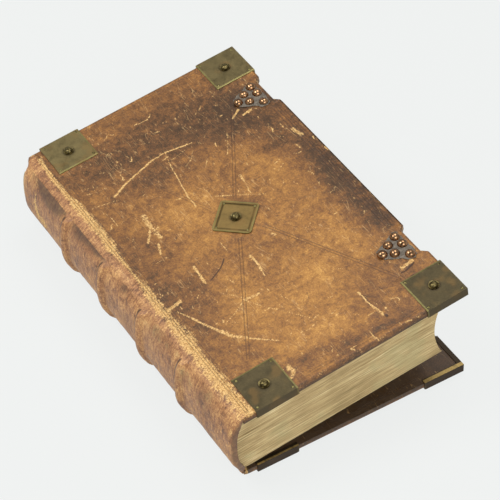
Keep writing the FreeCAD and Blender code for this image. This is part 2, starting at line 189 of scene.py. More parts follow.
# Marks of use, read off the photograph, in its pixels
scratches = [
    (1.8, 3.0, 1.00, [(192, 142.7), (164.2, 153), (151.5, 161), (138.7, 172.2), (126, 183.4), (114.5, 197)]),
    (1.5, 1.1, 0.88, [(184.2, 150.7), (171.4, 160.2)]),
    (1.6, 2.5, 1.00, [(164.2, 151.3), (171.5, 167.6), (181.6, 185), (188.3, 197.2), (196, 206)]),
    (1.4, 1.1, 0.66, [(114, 135), (108, 134.5), (104.4, 140.3), (104.4, 149.9), (111.6, 161), (118, 169)]),
    (1.1, 1.6, 0.83, [(91.7, 208.9), (103.6, 204.9), (118, 200.1)]),
    (1.7, 1.4, 0.88, [(154.7, 133.1), (159.4, 131.5)]),
    (1.4, 1.4, 0.88, [(134, 125.2), (139.5, 123.6), (147.5, 119.6)]),
    (1.0, 1.0, 0.61, [(203.3, 113.2), (204.9, 135.5), (203.3, 143.5)]),
    (2.1, 1.4, 0.88, [(215, 143), (216.5, 147)]),
    (1.5, 1.5, 0.77, [(224.8, 140.3), (228, 141), (227.4, 154.3)]),
    (1.4, 1.4, 0.77, [(192.9, 149.9), (191.3, 159.4), (185, 167.4)]),
    (1.6, 1.1, 0.77, [(207.3, 159.4), (205.4, 167)]),
    (1.5, 2.1, 0.88, [(106.8, 214.4), (112, 219), (117.2, 225.6)]),
    (1.4, 1.4, 0.88, [(92.5, 185.7), (94.9, 190.5)]),
    (1.8, 1.4, 0.94, [(86.9, 194.8), (92.5, 193.7)]),
    (1.5, 0.9, 0.88, [(216.3, 196.2), (236.7, 194.9), (265.4, 194)]),
    (1.8, 1.4, 0.88, [(240.8, 174.7), (244.6, 181.1)]),
    (1.4, 1.4, 0.66, [(281, 166.5), (283.5, 163)]),
    (5.6, 2.8, 0.86, [(250.8, 255.9), (258.4, 264.8), (264.8, 275.6)]),
    (4.4, 5.4, 0.86, [(193.4, 266.7), (198.5, 273.7), (204.8, 282.7)]),
    (1.6, 1.4, 0.83, [(219.5, 242.5), (226.5, 249.5), (231.6, 254.6)]),
    (4.0, 3.4, 0.86, [(158.3, 243.8), (160.8, 254)]),
    (2.8, 1.1, 0.94, [(271.2, 233.5), (276.3, 234.4), (272.6, 237)]),
    (1.4, 1.8, 0.88, [(220.2, 292.9), (239.3, 296.7), (248.2, 299.2), (259.7, 294.1)]),
    (1.4, 1.1, 0.77, [(278.8, 294.1), (287.8, 299.2)]),
    (1.4, 1.1, 0.77, [(303, 257.1), (306.9, 259.7)]),
    (1.3, 1.0, 0.77, [(336.2, 268.6), (343.9, 268.6)]),
    (3.2, 4.0, 0.86, [(358.6, 292.8), (364.4, 298.6), (372, 306.2), (378.7, 310), (383.5, 314.8)]),
    (1.4, 2.1, 0.88, [(391, 298.8), (396.9, 297.6), (399.8, 299)]),
    (1.8, 1.1, 0.77, [(370.1, 247.8), (372, 253.6)]),
    (1.5, 1.1, 0.66, [(388.3, 261.2), (394, 265)]),
    (1.6, 2.3, 0.99, [(370, 331.5), (375, 337), (379.5, 341)]),
    (1.4, 1.4, 0.66, [(405.5, 295), (406, 299)]),
    (6.0, 2.0, 0.92, [(222.3, 331.6), (228.8, 335.4), (239.7, 337), (255.9, 338.7), (278.7, 340.6)]),
    (2.0, 4.6, 0.88, [(177, 311.6), (191.3, 318), (207.3, 326), (223.2, 332.3)]),
    (6.0, 4.4, 0.82, [(180.2, 302), (173, 306.8), (165.8, 311.6)]),
    (1.8, 1.4, 0.99, [(157, 310), (154.7, 318)]),
    (1.6, 1.4, 0.88, [(220.1, 338.1), (224.5, 342.5)]),
    (1.8, 1.1, 0.77, [(336.2, 356), (350, 348.4), (362, 343)]),
    (1.1, 1.0, 0.66, [(259, 196), (262, 186), (268, 178)]),
    (1.4, 1.4, 0.83, [(317, 322), (309, 329), (300, 333)]),
    (1.3, 1.1, 0.66, [(263, 312), (274, 306), (286, 303)]),
    (1.1, 1.1, 0.66, [(298, 238), (289, 246), (284, 251)]),
    (2.0, 1.0, 0.86, [(244, 300), (262, 306), (284, 311), (311, 318)]),
    (1.8, 1.2, 0.84, [(244, 300), (236, 312), (225, 324)]),
    (4.0, 2.0, 0.80, [(244, 300), (253, 296), (261, 292)]),
    (1.6, 1.4, 0.80, [(240, 303), (234, 304)]),
]
scuffs = [
    (10.0, 7.0, 0.74, [(143.5, 216.8), (151.5, 228), (161, 236.7)]),
    (5.0, 3.6, 0.84, [(149.9, 231.9), (148.3, 243)]),
    (6.6, 5.0, 0.88, [(293.1, 128.8), (298, 132.5), (302, 133.9)]),
    (3.6, 2.6, 1.00, [(251, 109.7), (243.4, 114.8)]),
    (3.1, 2.1, 1.00, [(238.3, 109.7), (232.5, 118.6)]),
    (3.9, 2.1, 0.80, [(239.3, 175.5), (244.4, 181.3)]),
    (6.2, 3.9, 1.00, [(411.5, 260.6), (406, 265), (401.7, 268.5)]),
    (9.0, 6.5, 0.76, [(288.5, 368), (294, 370), (291.7, 377.7)]),
    (3.1, 2.3, 0.98, [(325, 146.7), (330.1, 150.5)]),
    (2.9, 2.3, 0.98, [(312.9, 136.6), (314, 138.5)]),
    (3.4, 2.6, 0.86, [(406, 322), (412, 319.5)]),
    (3.9, 2.6, 0.69, [(351, 349), (358, 351)]),
    (2.6, 2.6, 0.92, [(385.3, 307.5), (386.5, 308.5)]),
]
joint_streak = [
    (7.8, 9.1, 0.85, [(39.9, 160), (52.6, 178.6), (68.6, 197.7), (79.7, 207), (89.3, 219)]),
    (12.8, 15.8, 0.85, [(73, 202), (80, 209), (89.3, 219.5), (98, 229)]),
    (9.1, 19.5, 0.85, [(92, 223), (103.6, 236), (110.5, 247)]),
    (15.2, 7.4, 0.72, [(110.5, 247), (118, 256), (128, 268)]),
    (6.7, 8.5, 0.67, [(118, 255), (132, 272), (147, 292)]),
    (13.9, 17.0, 0.76, [(144, 287), (153, 299), (160, 309)]),
    (15.2, 25.8, 0.76, [(158, 306), (172.2, 322.8), (187, 341)]),
    (24.3, 19.7, 0.85, [(185, 338), (194.5, 351.5), (200, 359)]),
    (22.7, 29.0, 0.81, [(198, 358), (213, 374), (227, 391)]),
    (30.4, 27.4, 0.76, [(226, 390), (238, 403), (250, 413)]),
    (15.2, 24.3, 0.55, [(214, 384), (226, 398), (238, 410), (243, 420)]),
    (6.1, 4.5, 0.62, [(199, 364), (208, 377), (216, 390)]),
]
spine_scuffs = [
    (2.2, 1.6, 0.7, [(35, 172), (37, 180), (38, 186)]),
    (3.0, 7.0, 0.75, [(36, 192), (35, 203), (38, 214), (46, 227)]),
    (1.8, 1.8, 0.75, [(37, 163), (47, 178), (58, 193), (70, 209)]),
    (2.0, 2.6, 0.60, [(74, 213), (84, 226), (96, 240), (106, 252)]),
    (2.0, 2.4, 0.55, [(128, 275), (140, 291), (152, 306)]),
    (3.6, 2.0, 0.5, [(66, 235), (72, 246), (77, 256)]),
    (2.6, 2.0, 0.45, [(104, 285), (112, 297)]),
    (1.8, 2.4, 0.55, [(216, 394), (220, 402), (222, 412)]),
    (1.6, 1.6, 0.6, [(228, 408), (232, 420), (233, 432)]),
    (1.4, 1.4, 0.5, [(119, 280), (120, 285)]),
]
cracks = [
    (2.5, 1.9, 0.90, [(223.8, 259), (222.5, 264), (220.2, 268.6), (216.3, 273.7), (211.2, 280.1)]),
    (1.7, 1.5, 0.50, [(248.9, 252), (257, 246), (264.8, 240.6)]),
    (3.0, 2.3, 0.95, [(413.6, 262.8), (409.5, 267), (406, 270.6), (401, 273)]),
    (4.6, 4.6, 1.00, [(386.4, 315.4), (387, 315.8)]),
    (4.2, 3.0, 1.00, [(425, 315), (427, 316.5)]),
    (1.7, 1.7, 0.70, [(260.5, 191), (262.4, 195)]),
    (2.3, 2.3, 0.60, [(307.5, 292.5), (309, 298.5)]),
    (1.9, 1.9, 0.50, [(147, 243), (152, 248), (156, 252)]),
    (2.1, 2.1, 0.60, [(252, 121), (241, 121), (236, 124)]),
]
dark_clouds = [
    (110, 160, 60, 26, -27, 0.28), (190, 118, 55, 26, -25, 0.40), (262, 120, 38, 24, 38, 0.34),
    (160, 176, 34, 9, -27, 0.22), (228, 132, 26, 14, -10, 0.25), (312, 146, 28, 14, 44, 0.30),
    (346, 184, 38, 20, 45, 0.44), (379, 213, 26, 13, 46, 0.36), (330, 172, 30, 16, 45, 0.14),
    (124, 250, 40, 14, 47, 0.18), (165, 292, 42, 16, 47, 0.22), (205, 330, 22, 15, 40, 0.14),
    (370, 282, 34, 20, 20, 0.22), (206, 300, 22, 14, 60, 0.22), (262, 204, 10, 30, 80, 0.10),
    (380, 262, 14, 10, 0, 0.20), (300, 360, 70, 6, -27, 0.25), (385, 325, 50, 5, -27, 0.30),
    (418, 284, 12, 20, -30, 0.20), (271, 96, 12, 8, 45, 0.3), (234, 104, 20, 9, -25, 0.2),
]
light_clouds = [
    (190, 222, 34, 26, 20, 0.22), (275, 185, 36, 24, 40, 0.20), (330, 245, 50, 40, 45, 0.26),
    (300, 300, 60, 34, -20, 0.24), (240, 300, 28, 36, 20, 0.20), (320, 334, 44, 14, -27, 0.34),
    (196, 198, 30, 16, -20, 0.14), (256, 158, 26, 12, 20, 0.16), (352, 232, 26, 12, 45, 0.10),
]
spine_stains = [
    (43, 186, 7, 16, -20, 0.85), (57, 204, 9, 14, -40, 0.95), (88, 235, 8, 19, -42, 0.95),
    (99, 252, 5, 9, -42, 0.6), (124, 288, 6, 7, 0, 0.45), (72, 262, 8, 10, -30, 0.2),
    (160, 338, 10, 16, -40, 0.35), (205, 396, 12, 20, -35, 0.30), (130, 318, 8, 14, -35, 0.25),
    (184, 372, 7, 12, -35, 0.3), (106, 262, 6, 10, -40, 0.3),
]


# Nodes and colours

def linear(code):
    """sRGB hex to a linear colour."""
    rgb = [int(code[i:i + 2], 16) / 255 for i in (1, 3, 5)]
    return [c / 12.92 if c <= 0.04045 else ((c + 0.055) / 1.055) ** 2.4 for c in rgb] + [1.0]


def add(tree, kind, settings=None, **inputs):
    """Adds a node. Inputs are named, or i and a number; a socket is linked and anything else is set."""
    made = tree.nodes.new(kind)
    for key, value in (settings or {}).items():
        setattr(made, key, value)
    for key, value in inputs.items():
        numbered = key[0] == "i" and key[1:].isdigit()
        socket = made.inputs[int(key[1:])] if numbered else made.inputs[key.replace("_", " ")]
        if isinstance(value, bpy.types.NodeSocket):
            tree.links.new(value, socket)
        else:
            socket.default_value = value
    return made


def new_material(name):
    made = bpy.data.materials.new(name)
    made.use_nodes = True
    made.node_tree.nodes.clear()
    return made, made.node_tree


def finish_material(made, shader):
    out = made.node_tree.nodes.new("ShaderNodeOutputMaterial")
    made.node_tree.links.new(shader.outputs[0], out.inputs["Surface"])
    return made


def finish_surface(made, colour, rough, height, strength, distance_mm, **more):
    """Ends a material with its relief and its principled shader."""
    tree = made.node_tree
    relief = add(tree, "ShaderNodeBump", Height=height, Strength=strength, Distance=distance_mm * MM)
    shader = add(tree, "ShaderNodeBsdfPrincipled", Base_Color=colour, Roughness=rough,
                 Normal=relief.outputs[0], **more)
    return finish_material(made, shader)


def maths(tree, operation, a, b=0.0, c=0.0):
    return add(tree, "ShaderNodeMath", {"operation": operation}, i0=a, i1=b, i2=c).outputs[0]


def blended(tree, factor, a, b, mode="MIX"):
    settings = {"data_type": "RGBA", "blend_type": mode}
    return add(tree, "ShaderNodeMix", settings, i0=factor, i6=a, i7=b).outputs[2]


def varied(tree, texture, amount, level):
    """A level that goes up and down with a texture."""
    return maths(tree, "MULTIPLY_ADD", maths(tree, "SUBTRACT", texture, 0.5), amount, level)


def tinted(tree, colour, factor, strength, code):
    return blended(tree, maths(tree, "MULTIPLY", factor, strength), colour, linear(code))


def colour_ramp(tree, value, stops):
    """Colours along a value; stops are (position, sRGB hex), the lowest first."""
    made = add(tree, "ShaderNodeValToRGB", Fac=value)
    elements = made.color_ramp.elements
    for element, (position, code) in zip(list(elements), (stops[0], stops[-1])):
        element.position, element.color = position, linear(code)
    for position, code in stops[1:-1]:
        elements.new(position).color = linear(code)
    return made.outputs[0]


def dot(tree, offset, way):
    return add(tree, "ShaderNodeVectorMath", {"operation": "DOT_PRODUCT"}, i0=offset, i1=way).outputs["Value"]


def minus(tree, place, origin):
    return add(tree, "ShaderNodeVectorMath", {"operation": "SUBTRACT"}, i0=place, i1=origin).outputs[0]


def between(tree, value, low, high, to_low=0.0, to_high=1.0):
    settings = {"interpolation_type": "SMOOTHSTEP"}
    made = add(tree, "ShaderNodeMapRange", settings, Value=value)
    made.inputs["From Min"].default_value = low
    made.inputs["From Max"].default_value = high
    made.inputs["To Min"].default_value = to_low
    made.inputs["To Max"].default_value = to_high
    return made.outputs[0]


def noise(tree, place, size_mm, detail=4.0, rough=0.55, distort=0.0):
    """Noise whose features are about size_mm across, on coordinates in metres."""
    made = add(tree, "ShaderNodeTexNoise", Vector=place, Scale=1 / (size_mm * MM), Detail=detail,
               Roughness=rough, Distortion=distort)
    return made.outputs[0]


def object_place(tree, stretch=(1, 1, 1), turn=(0, 0, 0)):
    place = add(tree, "ShaderNodeTexCoord").outputs["Object"]
    made = add(tree, "ShaderNodeMapping", Vector=place, Scale=stretch, Rotation=turn)
    return made.outputs[0]


def painted_value(tree, name):
    return add(tree, "ShaderNodeAttribute", {"attribute_name": name}).outputs["Fac"]


# Blind-tooled double lines on a cover, as (along, across) in millimetres
fillet_gap = 2.3
fillet_width = 0.55


def tooled_lines(tree, lines):
    """0 to 1 where a tooled line is pressed in; UV holds along and across in metres.

    Each line is (start, end, half gap, strength), drawn as a pair of grooves."""
    uv = add(tree, "ShaderNodeUVMap", {"uv_map": "cover"}).outputs[0]
    total = 0.0
    for start, end, half_gap, strength in lines:
        a, b = Vector(start) * MM, Vector(end) * MM
        way = (b - a).normalized()
        side = Vector((-way.y, way.x))
        offset = minus(tree, uv, (a.x, a.y, 0))
        run = dot(tree, offset, (way.x, way.y, 0))
        off = dot(tree, offset, (side.x, side.y, 0))
        pair = maths(tree, "ABSOLUTE", maths(tree, "SUBTRACT", maths(tree, "ABSOLUTE", off), half_gap * MM))
        groove = between(tree, pair, fillet_width * MM * 0.35, fillet_width * MM, strength, 0.0)
        middle = (b - a).length / 2
        within = maths(tree, "ABSOLUTE", maths(tree, "SUBTRACT", run, middle))
        groove = maths(tree, "MULTIPLY", groove, between(tree, within, middle - MM, middle, 1.0, 0.0))
        total = groove if total == 0.0 else maths(tree, "MAXIMUM", total, groove)
    return total


cover_lines = [
    ((32.4, 44.5), (91.1, 152.6), fillet_gap / 2, 0.8),
    ((109.1, 189.8), (167.4, 289.5), fillet_gap / 2, 0.8),
    ((112.2, 152.5), (166.9, 38.4), fillet_gap / 2, 0.8),
    ((60.0, 262.0), (88.5, 191.2), fillet_gap / 2, 0.5),
    ((170.5, 60.0), (170.5, 300.0), fillet_gap / 2, 0.22),
    ((188.0, 88.0), (188.0, 258.0), fillet_gap * 0.6, 0.8),
    ((192.6, 90.0), (192.6, 256.0), fillet_gap * 0.5, 0.7),
    ((6.0, 2.0), (6.0, 338.0), fillet_gap / 2, 0.75),
    ((10.6, 40.0), (10.6, 300.0), fillet_gap * 0.4, 0.55),
    ((50.0, 334.0), (160.0, 334.0), fillet_gap / 2, 0.5),
    ((52.0, 6.0), (160.0, 6.0), fillet_gap / 2, 0.5),
]


def worn_leather(name, lines, spine=False):
    """Vegetable-tanned calf, brown from handling: satin where it is polished, pale and dry where scuffed."""
    made, tree = new_material(name)
    place = object_place(tree)
    tone = painted_value(tree, "tone")
    wear = painted_value(tree, "wear")
    crack = painted_value(tree, "crack")
    stain = painted_value(tree, "stain")
    broad = noise(tree, place, 26.0, 5.0, 0.6, 0.4)
    patchy = noise(tree, place, 6.0, 7.0, 0.7, 0.5)
    grain = noise(tree, place, 1.3, 4.0, 0.65)
    stretch = (0.16, 1.0, 0.16) if spine else (1.0, 0.22, 1.0)
    fibres = noise(tree, object_place(tree, stretch), 1.4, 5.0, 0.7, 0.25)
    level = varied(tree, broad, 0.5, tone)
    level = varied(tree, patchy, 1.3 if spine else 1.25, level)
    level = varied(tree, grain, 0.85, level)
    level = varied(tree, fibres, 0.95 if spine else 0.30, level)
    level = maths(tree, "ADD", level, 0.54 if spine else 0.465)
    shades = spine_shades if spine else cover_shades
    colour = colour_ramp(tree, level, [(i / (len(shades) - 1), code) for i, code in enumerate(shades)])

    # Dark specks, small pale nicks and hairline scratches from long handling
    specks = between(tree, noise(tree, place, 2.4, 3.0, 0.7), 0.37, 0.31)
    colour = tinted(tree, colour, specks, 0.55, "#4a2f1c")
    nicks = noise(tree, object_place(tree, (1.0, 0.32, 1.0), (0, 0, 0.7)), 2.6, 3.0, 0.7)
    nicks = between(tree, nicks, 0.63, 0.72)
    colour = tinted(tree, colour, nicks, 0.5, "#cfa468")
    for turn, length in ((0.5, 0.10), (2.2, 0.13), (1.25, 0.08)):
        lines_place = object_place(tree, (1.0, length, 1.0), (0, 0, turn))
        hair = maths(tree, "ABSOLUTE", maths(tree, "SUBTRACT", noise(tree, lines_place, 9.0, 2.0, 0.5), 0.5))
        hair = between(tree, hair, 0.0, 0.006, 1.0, 0.0)
        broken = between(tree, noise(tree, place, 13.0 + 3 * turn, 3.0, 0.6), 0.50, 0.60)
        hair = maths(tree, "MULTIPLY", hair, broken)
        colour = tinted(tree, colour, hair, 0.42, "#d6ae74")

    # Grey-brown staining
    stained = varied(tree, patchy, 1.4, stain)
    stained = between(tree, stained, 0.25, 0.85)
    colour = tinted(tree, colour, stained, 0.75, "#4a3a30" if spine else "#4a3a2b")

    # Scuffs show the pale fibres under the polished grain
    ragged = varied(tree, fibres, 1.0, wear)
    ragged = varied(tree, grain, 0.8, ragged)
    ragged = varied(tree, patchy, 1.1, ragged)
    bare = between(tree, ragged, 0.42, 0.78)
    pale = blended(tree, between(tree, grain, 0.35, 0.65), linear("#a8763c"), linear("#e8c280"))
    colour = blended(tree, maths(tree, "MULTIPLY", bare, 0.88), colour, pale)

    # Cracks, and on the spine a painted shade on the head-side flank of each band
    split_and_band_shade = varied(tree, grain, 0.5, crack)
    split_and_band_shade = between(tree, split_and_band_shade, 0.30, 0.75)
    colour = tinted(tree, colour, split_and_band_shade, 0.8, "#2f1a10")

    height = maths(tree, "MULTIPLY_ADD", grain, 0.35, maths(tree, "MULTIPLY", patchy, 0.6))
    height = maths(tree, "SUBTRACT", height, maths(tree, "MULTIPLY", bare, 0.35))
    height = maths(tree, "SUBTRACT", height, maths(tree, "MULTIPLY", split_and_band_shade, 0.8))
    if lines:
        pressed = tooled_lines(tree, lines)
        kept = between(tree, patchy, 0.34, 0.5, 0.35, 1.0)
        pressed = maths(tree, "MULTIPLY", pressed, kept)
        colour = tinted(tree, colour, pressed, 0.62, "#3b2113")
        height = maths(tree, "SUBTRACT", height, maths(tree, "MULTIPLY", pressed, 1.3))
    gloss = between(tree, patchy, 0.3, 0.7, 0.44, 0.60)
    gloss = maths(tree, "MULTIPLY_ADD", bare, 0.22, gloss)
    return finish_surface(made, colour, gloss, height, 0.55, 0.35, IOR=1.46)


cover_shades = ["#402a14", "#5c3d20", "#7a5028", "#956630", "#ae7b3b", "#c9984f"]
spine_shades = ["#38231a", "#5e3e28", "#875a39", "#ab7a4e", "#c99961", "#e2bb7e"]


# Meshes from grids of points

def grid_faces(rows, columns, start=0, flip=False):
    """Quads of a grid whose point (r, c) has index start + r * columns + c."""
    r, c = np.meshgrid(np.arange(rows - 1), np.arange(columns - 1), indexing="ij")
    a = start + r * columns + c
    quads = np.stack([a, a + columns, a + columns + 1, a + 1], -1).reshape(-1, 4)
    return quads[:, ::-1] if flip else quads


def rim(rows, columns):
    """Indices round a grid's edge, once round."""
    top = [(0, c) for c in range(columns)]
    right = [(r, columns - 1) for r in range(1, rows)]
    bottom = [(rows - 1, c) for c in range(columns - 2, -1, -1)]
    left = [(r, 0) for r in range(rows - 2, 0, -1)]
    return [r * columns + c for r, c in top + right + bottom + left]


def two_sheets(rows, columns, start=0):
    """Faces of a thin closed piece: two equal grids of points, one after the other, and its edge."""
    far = start + rows * columns
    edge = rim(rows, columns)
    faces = list(grid_faces(rows, columns, start)) + list(grid_faces(rows, columns, far, flip=True))
    return faces + [(start + b, start + a, far + a, far + b) for a, b in zip(edge, edge[1:] + edge[:1])]


def ring_walls(rings, sides):
    """Faces round a stack of rings of points, with the first ring closed."""
    walls = []
    for r in range(rings - 1):
        for c in range(sides):
            d = (c + 1) % sides
            walls.append((r * sides + c, r * sides + d, (r + 1) * sides + d, (r + 1) * sides + c))
    return walls + [tuple(range(sides))[::-1]]


def last_ring(rings, sides):
    """The face that closes the last of a stack of rings."""
    return tuple(range((rings - 1) * sides, rings * sides))


def make_mesh(name, points, faces, smooth=True):
    mesh = bpy.data.meshes.new(name)
    mesh.from_pydata([tuple(p) for p in points], [], [tuple(int(i) for i in f) for f in faces])
    mesh.validate()
    made = bpy.data.objects.new(name, mesh)
    bpy.context.scene.collection.objects.link(made)
    mesh.polygons.foreach_set("use_smooth", [smooth] * len(mesh.polygons))
    return made


def tidy_mesh(made, sharp_degrees, smallest=2e-6, join=0.0):
    """Joins points nearer than join, drops empty faces and turns all faces outwards."""
    work = bmesh.new()
    work.from_mesh(made.data)
    if join > 0:
        bmesh.ops.remove_doubles(work, verts=work.verts, dist=join)
    bmesh.ops.dissolve_degenerate(work, dist=smallest, edges=work.edges)
    bmesh.ops.recalc_face_normals(work, faces=work.faces)
    work.to_mesh(made.data)
    work.free()
    made.data.set_sharp_from_angle(angle=math.radians(sharp_degrees))


def finish_piece(made, material, slot, node, body, sharp_degrees=50, **joining):
    tidy_mesh(made, sharp_degrees, **joining)
    made.data.materials.clear()
    made.data.materials.append(material)
    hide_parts(node)
    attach(made, body)


def skin(name, outer, inner, step):
    """A closed skin: a fine outer grid of points, and an inner grid of every step-th point."""
    rows, columns = outer.shape[:2]
    few_rows, few_columns = inner.shape[:2]
    points = np.concatenate([outer.reshape(-1, 3), inner.reshape(-1, 3)])
    faces = list(grid_faces(rows, columns))
    start = rows * columns
    faces += list(grid_faces(few_rows, few_columns, start, flip=True))
    fine, coarse = rim(rows, columns), rim(few_rows, few_columns)
    count = len(coarse)
    half = step // 2
    for k in range(count):
        near = [fine[(k * step + j) % len(fine)] for j in range(step + 1)]
        a, b = start + coarse[k], start + coarse[(k + 1) % count]
        for j in range(step):
            faces.append((near[j + 1], near[j], a if j < half else b))
        faces.append((near[half], a, b))
    return make_mesh(name, points, faces)


def set_values(made, **values):
    for name, data in values.items():
        attribute = made.data.attributes.new(name, "FLOAT", "POINT")
        full = np.zeros(len(made.data.vertices), np.float32)
        full[:len(data)] = data
        attribute.data.foreach_set("value", full)


def set_uv(made, name, places):
    """A UV map from one (u, v) for each point."""
    layer = made.data.uv_layers.new(name=name)
    index = np.zeros(len(made.data.loops), np.int32)
    made.data.loops.foreach_get("vertex_index", index)
    layer.data.foreach_set("uv", np.asarray(places, np.float32)[index].ravel())


def marks(points, facing):
    """wear, crack and tone for points of the row frame; facing is 1 where the photograph sees them."""
    pixels = to_pixels(points)
    wear = painted(pixels, scratches + scuffs + joint_streak)
    crack = painted(pixels, cracks)
    tone = shaded(pixels, light_clouds) * 0.7 - shaded(pixels, dark_clouds) * 0.8
    return {"wear": wear * facing, "crack": crack * facing, "tone": np.clip(tone, -0.5, 0.4) * facing}


# Leather of the two covers

class Cover:
    """One cover: along from its joint, across from its tail edge, depth from its outer face."""

    def __init__(self, name, upper):
        self.name = name
        self.upper = upper
        self.x = lean if upper else 0.0
        self.y = 0.0 if upper else racking
        self.sign = -1.0 if upper else 1.0
        self.face = book_thickness if upper else 0.0
        centre = high_centre if upper else low_centre
        self.shoulder = centre[0] - self.x
        self.outwards = (-math.sin(gape), 0, math.cos(gape)) if upper else (0, 0, -1)

    def place(self, along, across, depth):
        closed = np.stack([self.x + along, self.y + across, self.face + self.sign * depth], -1)
        return to_row(closed, self.upper)

    def shoulder_drop(self, along, inset):
        """How far the outer face falls near the joint."""
        behind = np.maximum(self.shoulder - along, 0)
        radius = shoulder_radius - inset
        return radius - np.sqrt(np.maximum(radius ** 2 - behind ** 2, 0))


def fold_stations(inset, turn_in_steps=6):
    """Going over an edge: (distance in from the edge, depth) of each station, after the flat face."""
    radius = leather_round - inset
    stations = []
    for turn in (22.5, 45, 67.5, 90):
        t = math.radians(turn)
        stations.append((inset + radius - radius * math.sin(t), inset + radius - radius * math.cos(t)))
    stations.append((inset, stack - inset))
    for i in range(1, turn_in_steps + 1):
        reach = inset + (turn_in - inset) * (i / turn_in_steps)
        stations.append((reach, stack - inset))
    return stations


def folded_sheet(cover, flat_along, flat_across, inset, bumps):
    """Grid of points of a cover's leather: the flat face, over three edges and onto the inner face.

    flat_along and flat_across are the stations on the face, as distances on the flat."""
    folds = fold_stations(inset)
    count = len(folds)
    rows = len(flat_along) + count
    columns = len(flat_across) + 2 * count
    r, c = np.meshgrid(np.arange(rows), np.arange(columns), indexing="ij")
    fold_r = np.maximum(r - (len(flat_along) - 1), 0)
    low_c = np.maximum(count - c, 0)
    high_c = np.maximum(c - (count + len(flat_across) - 1), 0)
    fold_c = np.maximum(low_c, high_c)
    deepest = np.maximum(fold_r, fold_c)
    reach = np.array([leather_round] + [f[0] for f in folds])[deepest]
    depth = np.array([inset] + [f[1] for f in folds])[deepest]
    along = flat_along[np.minimum(r, len(flat_along) - 1)]
    across = flat_across[np.clip(c - count, 0, len(flat_across) - 1)]
    mitre = deepest > 5

    # In from each edge, with the mitred corners of the turn-ins
    from_fore = cover_reach - along
    share_r = np.where(deepest > 0, fold_r / np.maximum(deepest, 1), 0)
    share_c = np.where(deepest > 0, fold_c / np.maximum(deepest, 1), 0)
    plain_reach = np.where(mitre, leather_round, reach)
    go_r = leather_round + (plain_reach - leather_round) * share_r
    go_c = leather_round + (plain_reach - leather_round) * share_c
    ends = np.minimum(np.minimum(across, cover_height - across), turn_in + 1)
    over_r = np.where(mitre, np.minimum(reach, np.maximum(ends, leather_round)), reach)
    over_c = np.where(mitre, np.minimum(reach, np.maximum(from_fore, leather_round)), reach)
    along = np.where(fold_r > 0, cover_reach - np.where(fold_c > 0, go_r, over_r), along)
    inwards = np.where(fold_r > 0, go_c, over_c)
    across = np.where(low_c > 0, inwards, across)
    across = np.where(high_c > 0, cover_height - inwards, across)

    depth = depth + np.where(deepest < 5, cover.shoulder_drop(along, inset), 0)
    if cover.upper:
        slope = ramp(across, 84, 85) * (1 - ramp(across, 261, 262))
        drop = np.clip(along - (cover_reach - edge_bevel_width), 0, None)
        depth = depth + slope * drop * (edge_bevel_drop / edge_bevel_width) * (deepest < 4)
        for site in clasp_sites:
            cut = np.clip(notch_half + notch_depth - np.abs(across - site), 0, notch_depth)
            near = ramp(along, cover_reach - 24, cover_reach - leather_round)
            along = along - cut * near
    if bumps:
        top = np.where(deepest == 0, 1.0, 0.0)
        depth = depth + top * cover_unevenness(cover, along, across)
    return cover.place(along, across, depth), along, across, deepest


def cover_unevenness(cover, along, across):
    """Small hollows and swellings of old leather on a board, in millimetres of depth."""
    from_edge = np.minimum(np.minimum(across, cover_height - across), cover_reach - along)
    fore_plates = np.abs(along - (cover_reach - plate_size / 2)) < plate_size / 2 + 2
    spine_plates = np.abs(along - plate_setback - plate_size / 2) < plate_size / 2 + 2
    end_zone = np.minimum(across, cover_height - across) < plate_size + 2
    under_shoe = (fore_plates | spine_plates) & end_zone
    hollow = 0.14 + 0.10 * waves(along, across, 30.0, 5) + 0.07 * waves(along, across, 7.0, 6)
    hollow = hollow + 0.05 * waves(along, across, 3.2, 8)
    hollow = np.clip(hollow, 0, 0.4) * ramp(from_edge, 1, 6) * ramp(along, 1.5, 7)
    hollow = np.where(under_shoe, 0.04, hollow)
    for band in band_places:
        for at, rise, reach in ((4.5, 0.5, 3.4), (13.0, 0.22, 5.0)):
            gap = np.hypot(along - at, (across - band + cover.y - 5.0) / 1.4)
            hollow = hollow - rise * np.exp(-(gap / reach) ** 2)
    for start, end, half_gap, strength in cover_lines:
        a, b = np.array(start), np.array(end)
        way = (b - a) / np.linalg.norm(b - a)
        run = (along - a[0]) * way[0] + (across - a[1]) * way[1]
        off = -(along - a[0]) * way[1] + (across - a[1]) * way[0]
        within = ramp(run, 0, 2) * (1 - ramp(run, np.linalg.norm(b - a) - 2, np.linalg.norm(b - a)))
        groove = np.exp(-(off / (half_gap + 0.5)) ** 2)
        hollow = hollow + 0.10 * strength * groove * within * (~under_shoe)
    return hollow


def stations(low, high, pitch):
    """Evenly spread places, a multiple of four steps."""
    steps = 4 * max(1, round((high - low) / pitch / 4))
    return np.linspace(low, high, steps + 1)


first_step = 0.4


